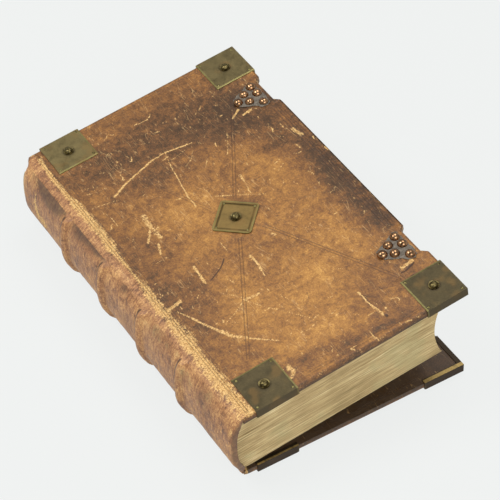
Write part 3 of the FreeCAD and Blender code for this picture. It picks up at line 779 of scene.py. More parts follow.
def dress_cover(cover, pitch, material):
    """The cover's leather: closed, with a fine outer face."""
    flat_along = stations(joint_slit, cover_reach - leather_round, pitch)
    flat_across = stations(leather_round, cover_height - leather_round, pitch)
    # The inner grid takes every fourth point. With the 11 fold stations of an edge, a fourth of the
    # steps comes out whole when the face has one station more along and two fewer across.
    flat_along = np.insert(flat_along, 1, joint_slit + first_step)
    flat_across = np.delete(flat_across, [9, 10])
    outer, along, across, deepest = folded_sheet(cover, flat_along, flat_across, 0.0, True)
    inner = folded_sheet(cover, flat_along, flat_across, leather, False)[0]
    made = skin(cover.name + "_leather", outer, inner[::4, ::4], 4)
    size = outer.shape[0] * outer.shape[1]
    rows = outer.reshape(-1, 3)
    facing = np.ones(size) if cover.upper else np.zeros(size)
    facing = facing * (deepest.reshape(-1) <= 3)
    values = marks(rows, facing)
    a, b, deep = along.reshape(-1), across.reshape(-1), deepest.reshape(-1)
    if not cover.upper:
        values["tone"] = values["tone"] + 0.10 * waves(a, b, 90.0, 31) - 0.12
        values["wear"] = own_wear(a, b, 41)
    else:
        values["wear"] = np.maximum(values["wear"], own_wear(a, b, 43, 190, 7.0) * (deep == 0))
        for site in clasp_sites:
            near = (np.abs(b - site) < notch_half + 3) & (a > cover_reach - notch_depth - 1.2)
            values["wear"] = np.maximum(values["wear"], near * 0.5)
    # Turn-ins are made much darker and greyer, and the edges a little darker
    values["tone"] = values["tone"] - 0.42 * (deep > 4) - 0.16 * ((deep > 0) & (deep <= 4))
    values["stain"] = 0.62 * (deep > 4) + 0.15 * ((deep > 1) & (deep <= 4))
    at_edge = (deep > 0) & (deep <= 3)
    values["wear"] = np.maximum(values["wear"], at_edge * (0.30 + 0.20 * waves(a, b, 14.0, 17)))
    set_values(made, **values)
    places = np.zeros((len(made.data.vertices), 2))
    places[:size, 0], places[:size, 1] = a * MM, b * MM
    set_uv(made, "cover", places)
    finish_piece(made, material, "cover_leather", cover.name + "_cover_leather", cover.name + "_cover")


def own_wear(along, across, seed, count=46, longest=34.0):
    """Scratches of no special place, for the sides that the photograph does not show."""
    rng = np.random.default_rng(seed)
    places = np.stack([along, across], -1)
    strokes = []
    for _ in range(count):
        x, y = rng.uniform(10, cover_reach - 10), rng.uniform(10, cover_height - 10)
        turn, length = rng.uniform(0, math.pi), rng.uniform(longest / 8, longest)
        bend = rng.uniform(-0.5, 0.5)
        middle = (x + length / 2 * math.cos(turn), y + length / 2 * math.sin(turn))
        far = (middle[0] + length / 2 * math.cos(turn + bend), middle[1] + length / 2 * math.sin(turn + bend))
        strokes.append((rng.uniform(1.2, 2.4), 1.0, rng.uniform(0.5, 0.9), [(x, y), middle, far]))
    strokes.append((5.0, 9.0, 0.8, [(2, 0), (3, cover_height / 2), (3, cover_height)]))
    return painted(places, strokes)


# Spine leather

# The back as it has worn, (x, z) from the upper joint to the lower one in the closed book
worn_back = [
    (7.55, 67.84), (4.4, 66.5), (1.2, 64.0), (-1.7, 60.3), (-4.0, 55.2), (-5.7, 48.8), (-6.9, 41.4),
    (-7.7, 34.2), (-7.9, 27.4), (-6.8, 20.4), (-4.6, 13.4), (-2.3, 6.8), (-0.15, 1.44),
]
head_fall, head_fall_reach = 8.5, 9.0
tail_fall, tail_fall_reach = 1.8, 5.0
tail_draw, head_draw = 5.2, 2.0
back_length = 80.0
rim_thickness = 5.3


def back_line(pitch):
    """The back from the upper joint to the lower one: points (x, z), outward directions and distances.

    A Catmull-Rom curve goes through the worn points."""
    knots = np.array(worn_back)
    padded = np.vstack([2 * knots[0] - knots[1], knots, 2 * knots[-1] - knots[-2]])
    t = np.linspace(0, 1, 12, endpoint=False)[:, None]
    fine = []
    for a, b, c, d in zip(padded, padded[1:], padded[2:], padded[3:]):
        square_part = (2 * a - 5 * b + 4 * c - d) * t ** 2
        cube_part = (3 * b - a - 3 * c + d) * t ** 3
        fine.append(0.5 * (2 * b + (c - a) * t + square_part + cube_part))
    fine = np.vstack(fine + [knots[-1:]])
    run = np.concatenate([[0], np.cumsum(np.linalg.norm(np.diff(fine, axis=0), axis=1))])
    step = np.linspace(0, run[-1], 4 * round(run[-1] / pitch / 4) + 1)
    line = np.stack([np.interp(step, run, fine[:, k]) for k in (0, 1)], -1)
    way = np.gradient(line, axis=0)
    way /= np.linalg.norm(way, axis=1)[:, None]
    return line, np.stack([way[:, 1], -way[:, 0]], -1), step


def off_the_back(line, ways, lift, y):
    """Points of the closed book that stand off a line by lift, a row of places y for each of its points."""
    return np.stack([line[:, None, 0] + ways[:, None, 0] * lift, np.broadcast_to(y, lift.shape),
                     line[:, None, 1] + ways[:, None, 1] * lift], -1)


def end_fall(step, y):
    """How far the spine's leather is rubbed round at its head cap and tail edge."""
    head = np.clip((y - cover_height + head_fall_reach) / head_fall_reach, 0, 0.99)
    tail = np.clip((tail_fall_reach - y) / tail_fall_reach, 0, 0.99)
    fall = head_fall * (1 - np.sqrt(1 - head ** 2)) + tail_fall * (1 - np.sqrt(1 - tail ** 2))
    return fall * ramp(step, 0, 6)


def drawn_in(step, y):
    """Places along the spine: its leather is drawn in at the head, and at the tail near the lower joint."""
    low = tail_draw * ramp(step, back_length - 30, back_length - 4) * (1 - ramp(y, 0, 45))
    near_upper = ramp(step, -14, -2) * (1 - ramp(step, back_length - 20, back_length))
    return y + low - head_draw * near_upper * ramp(y, 300, cover_height)


def band_limit(step):
    """How far a band may stand out at each place round the back: it dies into the covers."""
    return (band_rise + 1) * ramp(step, 2, 13) * ramp(step[-1] - step, 2, 13)


def spine_skin(material):
    line, ways, step = back_line(1.1)
    y = stations(0.0, cover_height, 1.05)
    limit = band_limit(step)
    gap = np.min([np.abs(y - band) for band in band_places], 0)
    ridge = np.sqrt(np.maximum(band_ridge_radius ** 2 - gap ** 2, 0)) - (band_ridge_radius - band_rise)
    ridge = np.maximum(ridge, 0)
    s, yy = np.meshgrid(step, y, indexing="ij")
    rise = np.minimum(ridge[None, :], limit[:, None])
    shallow = 0.16 * waves(s, yy, 22.0, 51) + 0.08 * waves(s, yy, 6.0, 52)
    shallow = shallow + 0.04 * waves(s * 0.5, yy, 2.6, 53)
    ends = ramp(s, 1, 8) * (1 - ramp(s, step[-1] - 8, step[-1] - 1))
    rise = rise + np.clip(shallow - 0.12, -0.45, 0.12) * ends * ramp(yy, 0, 3) * (1 - ramp(yy, 337, 340))
    # Each band gets a shallow crease beyond its head side, and a strip of painted shade on its head-side
    # flank
    head_side_painted_shade = np.zeros_like(yy)
    for band in band_places:
        crease = np.exp(-((yy - band - band_ridge_radius - 0.7) / 1.5) ** 2)
        shade = ramp(yy - band, 0.3, 1.5) * (1 - ramp(yy - band, 2.6, 4.2))
        head_side_painted_shade = np.maximum(head_side_painted_shade, shade)
        rise = rise - 0.35 * crease * (limit[:, None] > 1.0)
    drawn = drawn_in(s, yy)
    outer = to_row(off_the_back(line, ways, rise - end_fall(s, yy), drawn), True)
    rim_at_ends = np.where((y < cap_width) | (y > cover_height - cap_width), rim_thickness, leather)[None, :]
    thinned = (1 - ramp(step, 0, 7) * ramp(step[-1] - step, 0, 7))[:, None]
    thick = rim_at_ends - (rim_at_ends - leather) * thinned
    inner = to_row(off_the_back(line, ways, -thick, drawn), True)
    made = skin("spine_leather_worn", outer, inner[::4, ::4], 4)
    rows = outer.reshape(-1, 3)
    normal = np.stack([ways[:, 0] * math.cos(gape) - ways[:, 1] * math.sin(gape),
                       ways[:, 0] * math.sin(gape) + ways[:, 1] * math.cos(gape)], -1)
    towards = normal @ np.array([camera_back.x, camera_back.z])
    facing = np.repeat(ramp(towards, -0.05, 0.15), len(y))
    values = marks(rows, facing)
    pixels = to_pixels(rows)
    values["tone"] = 0.06 * waves(s, yy, 40.0, 61).reshape(-1)
    values["wear"] = np.maximum(values["wear"], painted(pixels, spine_scuffs) * facing)
    rubbed = rise / band_rise * (limit[:, None] > 2) * (0.34 + 0.12 * waves(s, yy, 9.0, 63))
    values["wear"] = np.maximum(values["wear"], rubbed.reshape(-1) * 0.9)
    tail_rub = (1 - ramp(yy, 0, 26)) * (1 - ramp(s, 18, 44)) * 0.42
    low_rub = (1 - ramp(yy, 0, 10)) * 0.40
    head_rub = ramp(yy, 326, 340) * 0.32
    values["wear"] = np.maximum.reduce([values["wear"], tail_rub.reshape(-1), low_rub.reshape(-1),
                                        head_rub.reshape(-1)])
    at_end = np.maximum(1 - ramp(yy, 0.4, 2.4), ramp(yy, cover_height - 2.4, cover_height - 0.4)).reshape(-1)
    values["wear"] = values["wear"] * (1 - 0.8 * at_end)
    # The bands' painted shade goes in with the cracks, which darken the leather
    band_shade = head_side_painted_shade * 0.85 * ramp(limit, 0.2, 2.2)[:, None]
    values["crack"] = np.maximum(values["crack"], band_shade.reshape(-1))
    values["stain"] = np.clip(shaded(pixels, spine_stains) * facing
                              + 0.16 + 0.14 * waves(s, yy, 30.0, 64).reshape(-1) + 0.5 * at_end, 0, 1)
    # The cut edge of the leather at head and tail, from its inner sheet of points, is made dark
    hidden = len(made.data.vertices) - len(rows)
    values["stain"] = np.concatenate([values["stain"], np.full(hidden, 0.75)])
    set_values(made, **values)
    finish_piece(made, material, "spine_leather", "spine_leather", "block", 55)


def tube(line, ways, y, top, bottom, half_width, sides=12):
    """A closed round cord along the back, from its outer to its inner height at each place."""
    turn = np.linspace(0, 2 * math.pi, sides, endpoint=False)
    middle, half = (top + bottom) / 2, (top - bottom) / 2
    lift = middle[:, None] + half[:, None] * np.cos(turn)
    rings = off_the_back(line, ways, lift, y + half_width * np.sin(turn))
    faces = ring_walls(len(line), sides) + [last_ring(len(line), sides)]
    return to_row(rings.reshape(-1, 3), True), faces


cord_half_width = 2.9
cord_foot = 3.4
lining_top, lining_bottom = 1.4, 3.2
beside_cord = 3.2


def under_the_back(hemp, linen):
    """The four cords under the bands and the linings pasted between them, fitted under the worn leather."""
    line, ways, step = back_line(2.2)
    limit = np.minimum(band_limit(step), band_rise)
    keep = (step > 5) & (step < step[-1] - 5)
    for number, band in enumerate(band_places, start=1):
        points, faces = tube(line[keep], ways[keep], band, limit[keep] - leather - 0.3,
                             np.full(keep.sum(), -cord_foot), cord_half_width)
        finish_piece(make_mesh("hemp_cord_" + str(number), points, faces), hemp, "sewing_cord",
                     "sewing_cord_" + str(number), "block")
    keep = (line[:, 1] > block_low + 1) & (line[:, 1] < block_high - 1)
    line, ways = line[keep], ways[keep]
    edges = [square] + list(band_places) + [cover_height - square]
    points, faces, start = [], [], 0
    for low, high in zip(edges[:-1], edges[1:]):
        y = np.linspace(low + (beside_cord if low > square else 0.2),
                        high - (beside_cord if high < edges[-1] else 0.2), 9)
        for depth in (lining_top, lining_bottom):
            sheet = off_the_back(line, ways, np.full((len(line), len(y)), -depth), y)
            points.append(to_row(sheet, True).reshape(-1, 3))
        faces += two_sheets(len(line), len(y), start)
        start += 2 * len(line) * len(y)
    panels = make_mesh("linen_linings", np.concatenate(points), faces)
    finish_piece(panels, linen, "lining", "spine_linings", "block")


# Leather over each joint

def joint_strip(name, cover, material, reach=4.6, thickness=0.35):
    """A strip of leather from the back over the joint onto the cover, thinned at both sides."""
    line, ways, step = back_line(1.1)
    if not cover.upper:
        line, ways = line[::-1], ways[::-1]
    back = line[:5][::-1]
    back_ways = ways[:5][::-1]
    back_steps = step[:5][::-1]
    on_cover = np.linspace(joint_slit, reach, 6)
    drop = cover.shoulder_drop(on_cover, 0)
    x = np.concatenate([back[:, 0], cover.x + on_cover])
    z = np.concatenate([back[:, 1], cover.face + cover.sign * drop])
    behind = np.maximum(cover.shoulder - on_cover, 0) / shoulder_radius
    cover_ways = np.stack([-behind, -cover.sign * np.sqrt(1 - behind ** 2)], -1)
    way = np.concatenate([back_ways, cover_ways])
    y0 = 0.0 if cover.upper else racking + 1.8
    y = stations(y0 + 0.6, cover_height - 0.6, 1.4)
    share = np.linspace(0, 1, len(x))
    thick = thickness * np.sin(math.pi * np.clip(share, 0.06, 0.94)) ** 0.6
    s, yy = np.meshgrid(np.arange(len(x)) * 1.0, y, indexing="ij")
    top = 0.06 + thick[:, None] * (0.75 + 0.25 * waves(s * 3, yy, 9.0, 71))
    fall = np.zeros_like(top)
    fall[:5] = end_fall(np.repeat(back_steps[:, None], len(y), 1), yy[:5])
    cover_steps = -on_cover if cover.upper else on_cover + step[-1]
    steps_here = np.concatenate([back_steps, cover_steps])
    drawn = np.clip(drawn_in(np.repeat(steps_here[:, None], len(y), 1), yy), y0 + 0.6, None)
    sets = []
    for lift in (top - fall, -0.25 - fall):
        closed = off_the_back(np.stack([x, z], -1), way, lift, drawn)
        sets.append(to_row(closed, True) if cover.upper else closed)
    if not cover.upper:
        sets = [lower_blend_rest(p) for p in sets]
    rows, columns = top.shape
    points = np.concatenate([p.reshape(-1, 3) for p in sets])
    made = make_mesh(name, points, two_sheets(rows, columns))
    outer = sets[0].reshape(-1, 3)
    values = marks(outer, np.full(len(outer), 1.0 if cover.upper else 0.0))
    if not cover.upper:
        values["wear"] = 0.45 + 0.2 * waves(s, yy, 20.0, 73).reshape(-1)
    values["stain"] = np.full(len(outer), 0.05)
    set_values(made, **values)
    tidy_mesh(made, 60)
    made.data.materials.append(material)
    start = to_row(np.array([cover.x - 2.0, 0, cover.face + cover.sign * 1.2]), True)
    end = to_row(np.array([cover.x + 2.0, 0, cover.face + cover.sign * 0.3]), cover.upper)
    start[1] = end[1] = 0.0
    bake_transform(made)


def lower_blend_rest(closed):
    """At rest the lower joint is open by the gape: the block's side of its strip is turned up."""
    turned, flat = to_row(closed, True), to_row(closed, False)
    share = ramp(closed[..., 0], -2.0, 2.0)[..., None]
    return turned * (1 - share) + flat * share


# Leaves

def leaf_edges(material):
    """The block of leaves: each row of points is one leaf from its fold to its fore-edge."""
    leaves = 128
    share = np.linspace(0, 1, leaves + 1)
    z = block_low + (block_high - block_low) * share
    radius = back_radius - back_build
    back = back_x - np.sqrt(radius ** 2 - (z - back_z) ** 2)
    for level, rising in ((block_high, False), (block_low, True)):
        centre = corner_centre(back_build, level, block_shoulder_radius, rising)
        near = np.abs(z - level) < block_shoulder_radius
        reach = np.sqrt(np.maximum(block_shoulder_radius ** 2 - (z - centre[1]) ** 2, 0))
        back = np.where(near, np.maximum(back, centre[0] - reach), back)
    fore_low = block_reach
    fore_high = block_reach + lean * (block_high - block_low) / book_thickness
    fore = fore_low + (fore_high - fore_low) * share - 4 * fore_edge_hollow * share * (1 - share)
    rng = np.random.default_rng(3)
    gathering = np.repeat(rng.uniform(-1, 1, leaves // 4 + 1), 4)[:leaves + 1]
    single = rng.uniform(-1, 1, leaves + 1)
    steps = 44
    run = np.linspace(0, 1, steps + 1)
    y_steps = 60
    low_y, high_y = square, cover_height - square
    inner = ramp(share, 0.0, 0.02) * (1 - ramp(share, 0.98, 1.0))
    ragged_x = (0.35 * gathering + 0.18 * single) * inner
    ragged_y = (0.28 * gathering + 0.16 * single) * inner

    def leaf_line(v):
        return back[v] + (fore[v] - back[v]) * run

    points, faces, uvs, kinds = [], [], [], []

    def sheet(grid, uv, kind, flip):
        start = sum(len(p) for p in points)
        points.append(grid.reshape(-1, 3))
        uvs.append(uv.reshape(-1, 2))
        kinds.append(np.full(grid.shape[0] * grid.shape[1], kind, float))
        faces.extend(grid_faces(grid.shape[0], grid.shape[1], start, flip))

    x_end = np.stack([leaf_line(v) for v in range(leaves + 1)])
    edge_in = ramp(run, 0, 0.02) * (1 - ramp(run, 0.985, 1.0))
    zz = np.repeat(z[:, None], steps + 1, 1)
    for y_side, way, flip in ((low_y, 1.0, False), (high_y, -1.0, True)):
        dip = 0.30 + ragged_y[:, None] * (0.6 + 0.4 * waves(x_end, zz, 60.0, 81))
        y_grid = y_side + way * np.clip(dip, 0, 1.2) * edge_in[None, :] * inner[:, None]
        uv = np.stack([x_end * MM, zz * MM], -1)
        sheet(np.stack([x_end, y_grid, zz], -1), uv, 0.0, flip)
    y_line = np.linspace(low_y, high_y, y_steps + 1)
    yy = np.repeat(y_line[None, :], leaves + 1, 0)
    zy = np.repeat(z[:, None], y_steps + 1, 1)
    ends = ramp(yy, low_y, low_y + 3) * (1 - ramp(yy, high_y - 3, high_y))
    wavy = ragged_x[:, None] * (0.7 + 0.3 * waves(yy, zy, 70.0, 83)) + 0.25 * waves(yy, zy * 4, 50.0, 84)
    wavy = wavy * ends
    uv = np.stack([yy * MM, zy * MM], -1)
    sheet(np.stack([fore[:, None] - np.abs(wavy) * inner[:, None], yy, zy], -1), uv, 0.0, False)
    sheet(np.stack([np.repeat(back[:, None], y_steps + 1, 1), yy, zy], -1), uv, 0.0, True)
    for v, flip in ((0, False), (leaves, True)):
        xs = np.repeat(x_end[v][:, None], y_steps + 1, 1)
        ys = np.repeat(y_line[None, :], steps + 1, 0)
        grid = np.stack([xs, ys, np.full_like(xs, z[v])], -1)
        sheet(grid, np.stack([xs * MM, ys * MM], -1), 1.0, flip)
    made = make_mesh("leaf_block", to_row(np.concatenate(points), True), faces)
    set_values(made, page=np.concatenate(kinds))
    set_uv(made, "leaf", np.concatenate(uvs))
    finish_piece(made, material, "leaves", "text_block", "block", 40, smallest=1e-6, join=2e-5)


def paper_edges():
    """Trimmed rag paper, seen edge on: matt, in fine bands of cream, straw and olive-grey dust."""
    made, tree = new_material("trimmed_rag_paper_edges")
    uv = add(tree, "ShaderNodeUVMap", {"uv_map": "leaf"}).outputs[0]

    def streaks(along_mm, through_mm, detail):
        stretch = (through_mm / along_mm, 1.0, 1.0)
        squeezed = add(tree, "ShaderNodeMapping", Vector=uv, Scale=stretch).outputs[0]
        return noise(tree, squeezed, through_mm, detail, 0.6)

    # Single leaves are too fine to show, so the finest streaks are about 0.8 mm
    gatherings = streaks(150.0, 6.5, 3.0)
    leaves = streaks(60.0, 1.6, 4.0)
    fine = streaks(22.0, 0.8, 3.0)
    dirt = noise(tree, object_place(tree), 30.0, 5.0, 0.6)
    level = varied(tree, gatherings, 0.8, 0.58)
    level = varied(tree, leaves, 1.25, level)
    level = varied(tree, fine, 1.3, level)
    level = varied(tree, dirt, 0.6, level)
    shades = [(0.0, "#75633f"), (0.3, "#968158"), (0.55, "#b3996b"), (0.8, "#ccb584"), (1.0, "#e2cfa2")]
    colour = colour_ramp(tree, level, shades)
    dusty = between(tree, dirt, 0.52, 0.66)
    colour = tinted(tree, colour, dusty, 0.35, "#8f8a60")
    face = painted_value(tree, "page")
    colour = blended(tree, face, colour, linear("#cdbd92"))
    height = maths(tree, "MULTIPLY_ADD", fine, 0.6, leaves)
    return finish_surface(made, colour, 0.85, height, 0.35, 0.3, IOR=1.4)


# Brass, wood, paper and cord of the solids

def sheet_brass(name, cover, along, across, half_side, turned, rims, lift=0.0):
    """Hammered sheet brass, dark olive with tarnish and rubbed yellower along its free edges."""
    made, tree = new_material(name)
    centre = cover.place(np.array(along), np.array(across), np.array(0.0))
    tilt = -gape if cover.upper else 0.0
    place = add(tree, "ShaderNodeTexCoord").outputs["Object"]
    moved = minus(tree, place, tuple(centre))
    level = add(tree, "ShaderNodeMapping", Vector=moved, Rotation=(0, -tilt, 0)).outputs[0]
    if turned:
        level = add(tree, "ShaderNodeMapping", Vector=level, Rotation=(0, 0, math.radians(45))).outputs[0]
    parts = add(tree, "ShaderNodeSeparateXYZ", i0=level)
    cloudy = noise(tree, place, 9.0, 5.0, 0.6, 0.5)
    fine = noise(tree, place, 1.4, 4.0, 0.65)
    brushed = noise(tree, object_place(tree, (1.0, 0.15, 1.0), (0, 0, 0.5)), 1.0, 3.0, 0.6)
    mixed = maths(tree, "MULTIPLY_ADD", cloudy, 0.8, maths(tree, "MULTIPLY", fine, 0.45))
    mixed = maths(tree, "SUBTRACT", mixed, 0.12)
    shades = [(0.1, "#3b3222"), (0.42, "#51472f"), (0.62, "#62563a"), (0.9, "#85734a")]
    tarnish = colour_ramp(tree, mixed, shades)
    brighter = linear(("#b08d4c" if turned else "#a89560") if lift > 0 else "#2a2318")
    colour = blended(tree, maths(tree, "MULTIPLY", between(tree, mixed, 0.15, 0.6, 0.5, 1.0), abs(lift)),
                     tarnish, brighter)
    rim = 0.0
    for axis, way in rims:
        signed = maths(tree, "MULTIPLY", parts.outputs[axis], way)
        edge = between(tree, signed, (half_side - 2.0) * MM, (half_side - 0.9) * MM)
        rim = edge if rim == 0.0 else maths(tree, "MAXIMUM", rim, edge)
    if turned:
        across_x = maths(tree, "ABSOLUTE", parts.outputs[0])
        across_y = maths(tree, "ABSOLUTE", parts.outputs[1])
        far = maths(tree, "MAXIMUM", across_x, across_y)
        hollow = maths(tree, "MULTIPLY", between(tree, far, (half_side - 4.2) * MM, (half_side - 3.2) * MM),
                       between(tree, far, (half_side - 2.4) * MM, (half_side - 1.6) * MM, 1.0, 0.0))
        colour = tinted(tree, colour, hollow, 0.6, "#35290f")
    rubbed = between(tree, maths(tree, "MULTIPLY_ADD", fine, 0.9, rim), 0.95, 1.55)
    colour = tinted(tree, colour, rubbed, 0.8, "#8f8550")
    radial = add(tree, "ShaderNodeVectorMath", {"operation": "LENGTH"},
                 i0=add(tree, "ShaderNodeCombineXYZ", X=parts.outputs[0], Y=parts.outputs[1]).outputs[0])
    ring = between(tree, radial.outputs["Value"], 4.3 * MM, 6.6 * MM, 1.0, 0.0)
    colour = tinted(tree, colour, ring, 0.5, "#33291b")
    # Soft golden patches at random places: painted reflection
    warm_painted_reflection = between(tree, noise(tree, place, 16.0, 2.0, 0.5), 0.52, 0.66)
    colour = tinted(tree, colour, warm_painted_reflection, 0.35, "#8a6a3c")
    # The folded flanges, picked out by the way their faces turn, are made nearly black with grime and painted
    # shade; a lip on the inner face is rubbed bright
    facing = add(tree, "ShaderNodeTexCoord").outputs["Normal"]
    face = dot(tree, facing, cover.outwards)
    flange = between(tree, face, 0.45, 0.75, 1.0, 0.0)
    grime_and_painted_shade = linear("#4d3f28" if cover.upper else "#33241a")
    colour = blended(tree, maths(tree, "MULTIPLY", flange, 0.5 if cover.upper else 0.85), colour, grime_and_painted_shade)
    lip = between(tree, face, -0.45, -0.75)
    tailwards = maths(tree, "MULTIPLY", parts.outputs[1], -1.0)
    bright_from = half_side - (3.4 if along > cover_reach / 2 else 1.6)
    bright = between(tree, tailwards, (bright_from - 0.3) * MM, (bright_from + 0.3) * MM)
    bright = maths(tree, "MULTIPLY", bright, between(tree, cloudy, 0.30, 0.52, 0.35, 1.0))
    colour = tinted(tree, colour, lip, 0.9, "#3b3022")
    colour = blended(tree, maths(tree, "MULTIPLY", maths(tree, "MULTIPLY", lip, bright), 0.95), colour,
                     linear("#b59a60"))
    height = maths(tree, "MULTIPLY_ADD", brushed, 0.25, cloudy)
    gloss = between(tree, cloudy, 0.3, 0.7, 0.42, 0.60)
    gloss = maths(tree, "MULTIPLY_ADD", rubbed, -0.12, gloss)
    return finish_surface(made, colour, gloss, height, 0.25, 0.5, Metallic=0.72)


def small_brass(name, dark, light, rough, size_mm=2.0):
    """Turned or domed brass, clouded with tarnish."""
    made, tree = new_material(name)
    cloudy = noise(tree, object_place(tree), size_mm, 4.0, 0.6)
    colour = colour_ramp(tree, cloudy, [(0.34, dark), (0.62, light)])
    return finish_surface(made, colour, rough, cloudy, 0.3, 0.2, Metallic=1.0)


def grained(name, dark, light, rough, stretch, size_mm, coarseness=0.6):
    """A matt, streaked natural stuff, such as planed oak, hemp cord or linen."""
    made, tree = new_material(name)
    streak = noise(tree, object_place(tree, stretch), size_mm, 5.0, coarseness, 0.3)
    colour = colour_ramp(tree, streak, [(0.3, dark), (0.7, light)])
    return finish_surface(made, colour, rough, streak, 0.4, 0.3)


def dome(way, radius, height, shank_radius, shank, rings=6, sides=20):
    """A nail that points along way: a domed head over a round shank."""
    sphere = (radius ** 2 + height ** 2) / (2 * height)
    reach = math.asin(min(radius / sphere, 1.0))
    outline = [(shank_radius, -shank), (shank_radius, 0.0), (radius * 0.96, 0.0)]
    outline += [(sphere * math.sin(reach * (1 - i / rings)),
                 height - sphere + sphere * math.cos(reach * (1 - i / rings))) for i in range(rings)]
    turn = Vector((0, 0, 1)).rotation_difference(Vector(way))
    points = [turn @ Vector((r * math.cos(a), r * math.sin(a), z)) * MM for r, z in outline
              for a in np.linspace(0, 2 * math.pi, sides, endpoint=False)]
    faces = ring_walls(len(outline), sides)
    last = (len(outline) - 1) * sides
    points.append(turn @ Vector((0, 0, height)) * MM)
    faces += [(last + c, last + (c + 1) % sides, len(points) - 1) for c in range(sides)]
    made = make_mesh("one_nail", points, faces)
    made.data.set_sharp_from_angle(angle=math.radians(45))
    return made


def fastener_group():
    """Copies of one nail on given places, each a little different in size and lean."""
    group = bpy.data.node_groups.new("nails_on_places", "GeometryNodeTree")
    sockets = (("Places", "Geometry"), ("Nail", "Object"), ("Metal", "Material"), ("Smallest", "Float"),
               ("Largest", "Float"), ("Lean", "Float"), ("Seed", "Int"))
    for name, kind in sockets:
        group.interface.new_socket(name=name, in_out="INPUT", socket_type="NodeSocket" + kind)
    group.interface.new_socket(name="Nails", in_out="OUTPUT", socket_type="NodeSocketGeometry")
    given = add(group, "NodeGroupInput").outputs
    nail = add(group, "GeometryNodeObjectInfo", Object=given["Nail"]).outputs["Geometry"]
    size = add(group, "FunctionNodeRandomValue", {"data_type": "FLOAT"}, i2=given["Smallest"],
               i3=given["Largest"], Seed=given["Seed"]).outputs[1]
    back = add(group, "ShaderNodeMath", {"operation": "MULTIPLY"}, i0=given["Lean"], i1=-1.0).outputs[0]
    low = add(group, "ShaderNodeCombineXYZ", X=back, Y=back).outputs[0]
    high = add(group, "ShaderNodeCombineXYZ", X=given["Lean"], Y=given["Lean"]).outputs[0]
    lean_turn = add(group, "FunctionNodeRandomValue", {"data_type": "FLOAT_VECTOR"}, i0=low, i1=high,
                    Seed=given["Seed"]).outputs[0]
    copies = add(group, "GeometryNodeInstanceOnPoints", Points=given["Places"], Instance=nail,
                 Rotation=lean_turn, Scale=size).outputs[0]
    real = add(group, "GeometryNodeRealizeInstances", Geometry=copies).outputs[0]
    metal = add(group, "GeometryNodeSetMaterial", Geometry=real, Material=given["Metal"]).outputs[0]
    out = group.nodes.new("NodeGroupOutput")
    group.links.new(metal, out.inputs[0])
    return group


def nailed(name, cover, places, height, nail, metal, node, slot, spread, lean_angle, seed):
    """Makes the nails of one node from the repeat."""
    points = [cover.place(np.array(a), np.array(b), np.array(-height)) for a, b in places]
    holder = make_mesh(name + "_places", points, [])
    modifier = holder.modifiers.new("nails", "NODES")
    modifier.node_group = nail_repeat
    inputs = {item.name: item.identifier for item in nail_repeat.interface.items_tree
              if item.item_type == "SOCKET" and item.in_out == "INPUT"}
    for key, value in (("Nail", nail), ("Metal", metal), ("Smallest", 1 - spread), ("Largest", 1 + spread),
                       ("Lean", lean_angle), ("Seed", seed)):
        modifier[inputs[key]] = value
    graph = bpy.context.evaluated_depsgraph_get()
    mesh = bpy.data.meshes.new_from_object(holder.evaluated_get(graph), depsgraph=graph)
    made = bpy.data.objects.new(name, mesh)
    bpy.context.scene.collection.objects.link(made)
    bpy.data.objects.remove(holder)
    finish_piece(made, metal, slot, node, cover.name + "_cover")


# Clasp nails as (along, across) from the middle of their site, and the torn leather under them
nail_offsets = ((185.0, 9.5), (175.9, 5.3), (185.7, 0.2), (167.3, 0.3), (175.5, -4.5), (184.6, -12.0))
stub_outline = (
    (189.6, 13.5), (186.5, 15.2), (181.8, 13.4), (177.4, 10.8), (171.0, 8.6), (165.0, 5.6), (163.0, 1.0),
    (165.8, -3.8), (170.6, -7.8), (175.8, -10.6), (180.6, -16.0), (185.6, -17.2), (189.0, -14.6),
    (190.2, -6.0), (189.2, 4.0),
)
stub_thickness = 0.7


def torn_stub(name, site, seed, node):
    """What is left of a clasp strap: thin leather with a torn edge."""
    rng = np.random.default_rng(seed)
    outline = []
    for (a, b), (c, d) in zip(stub_outline, stub_outline[1:] + stub_outline[:1]):
        for share in (0.0, 0.25, 0.5, 0.75):
            outline.append((a + (c - a) * share + rng.uniform(-0.5, 0.5),
                            site + b + (d - b) * share + rng.uniform(-0.5, 0.5)))
    outline = np.array(outline)
    count = len(outline)
    middle = outline.mean(0)
    rings = []
    for reach, depth in ((0.97, 0.05), (1.0, -0.3), (0.985, -0.62), (0.9, -stub_thickness), (0.55, -0.78)):
        ring = middle + (outline - middle) * reach
        rings.append(upper.place(ring[:, 0], ring[:, 1], depth + rng.uniform(-0.06, 0.06, count)))
    faces = ring_walls(len(rings), count) + [last_ring(len(rings), count)]
    piece = make_mesh(name, np.concatenate(rings), faces)
    finish_piece(piece, grimy_strap, "strap_leather", node, "upper_cover")


def give(node, material):
    data = nodes[node].data
    data.materials.clear()
    data.materials.append(material)


lower = Cover("lower", False)
upper = Cover("upper", True)

cover_leather = worn_leather("brown_calf_covers", cover_lines)
spine_calf = worn_leather("brown_calf_spine", None, spine=True)
dress_cover(upper, 1.0, cover_leather)
dress_cover(lower, 1.9, cover_leather)
spine_skin(spine_calf)
joint_strip("upper_joint_leather", upper, spine_calf)
joint_strip("lower_joint_leather", lower, spine_calf)
leaf_edges(paper_edges())

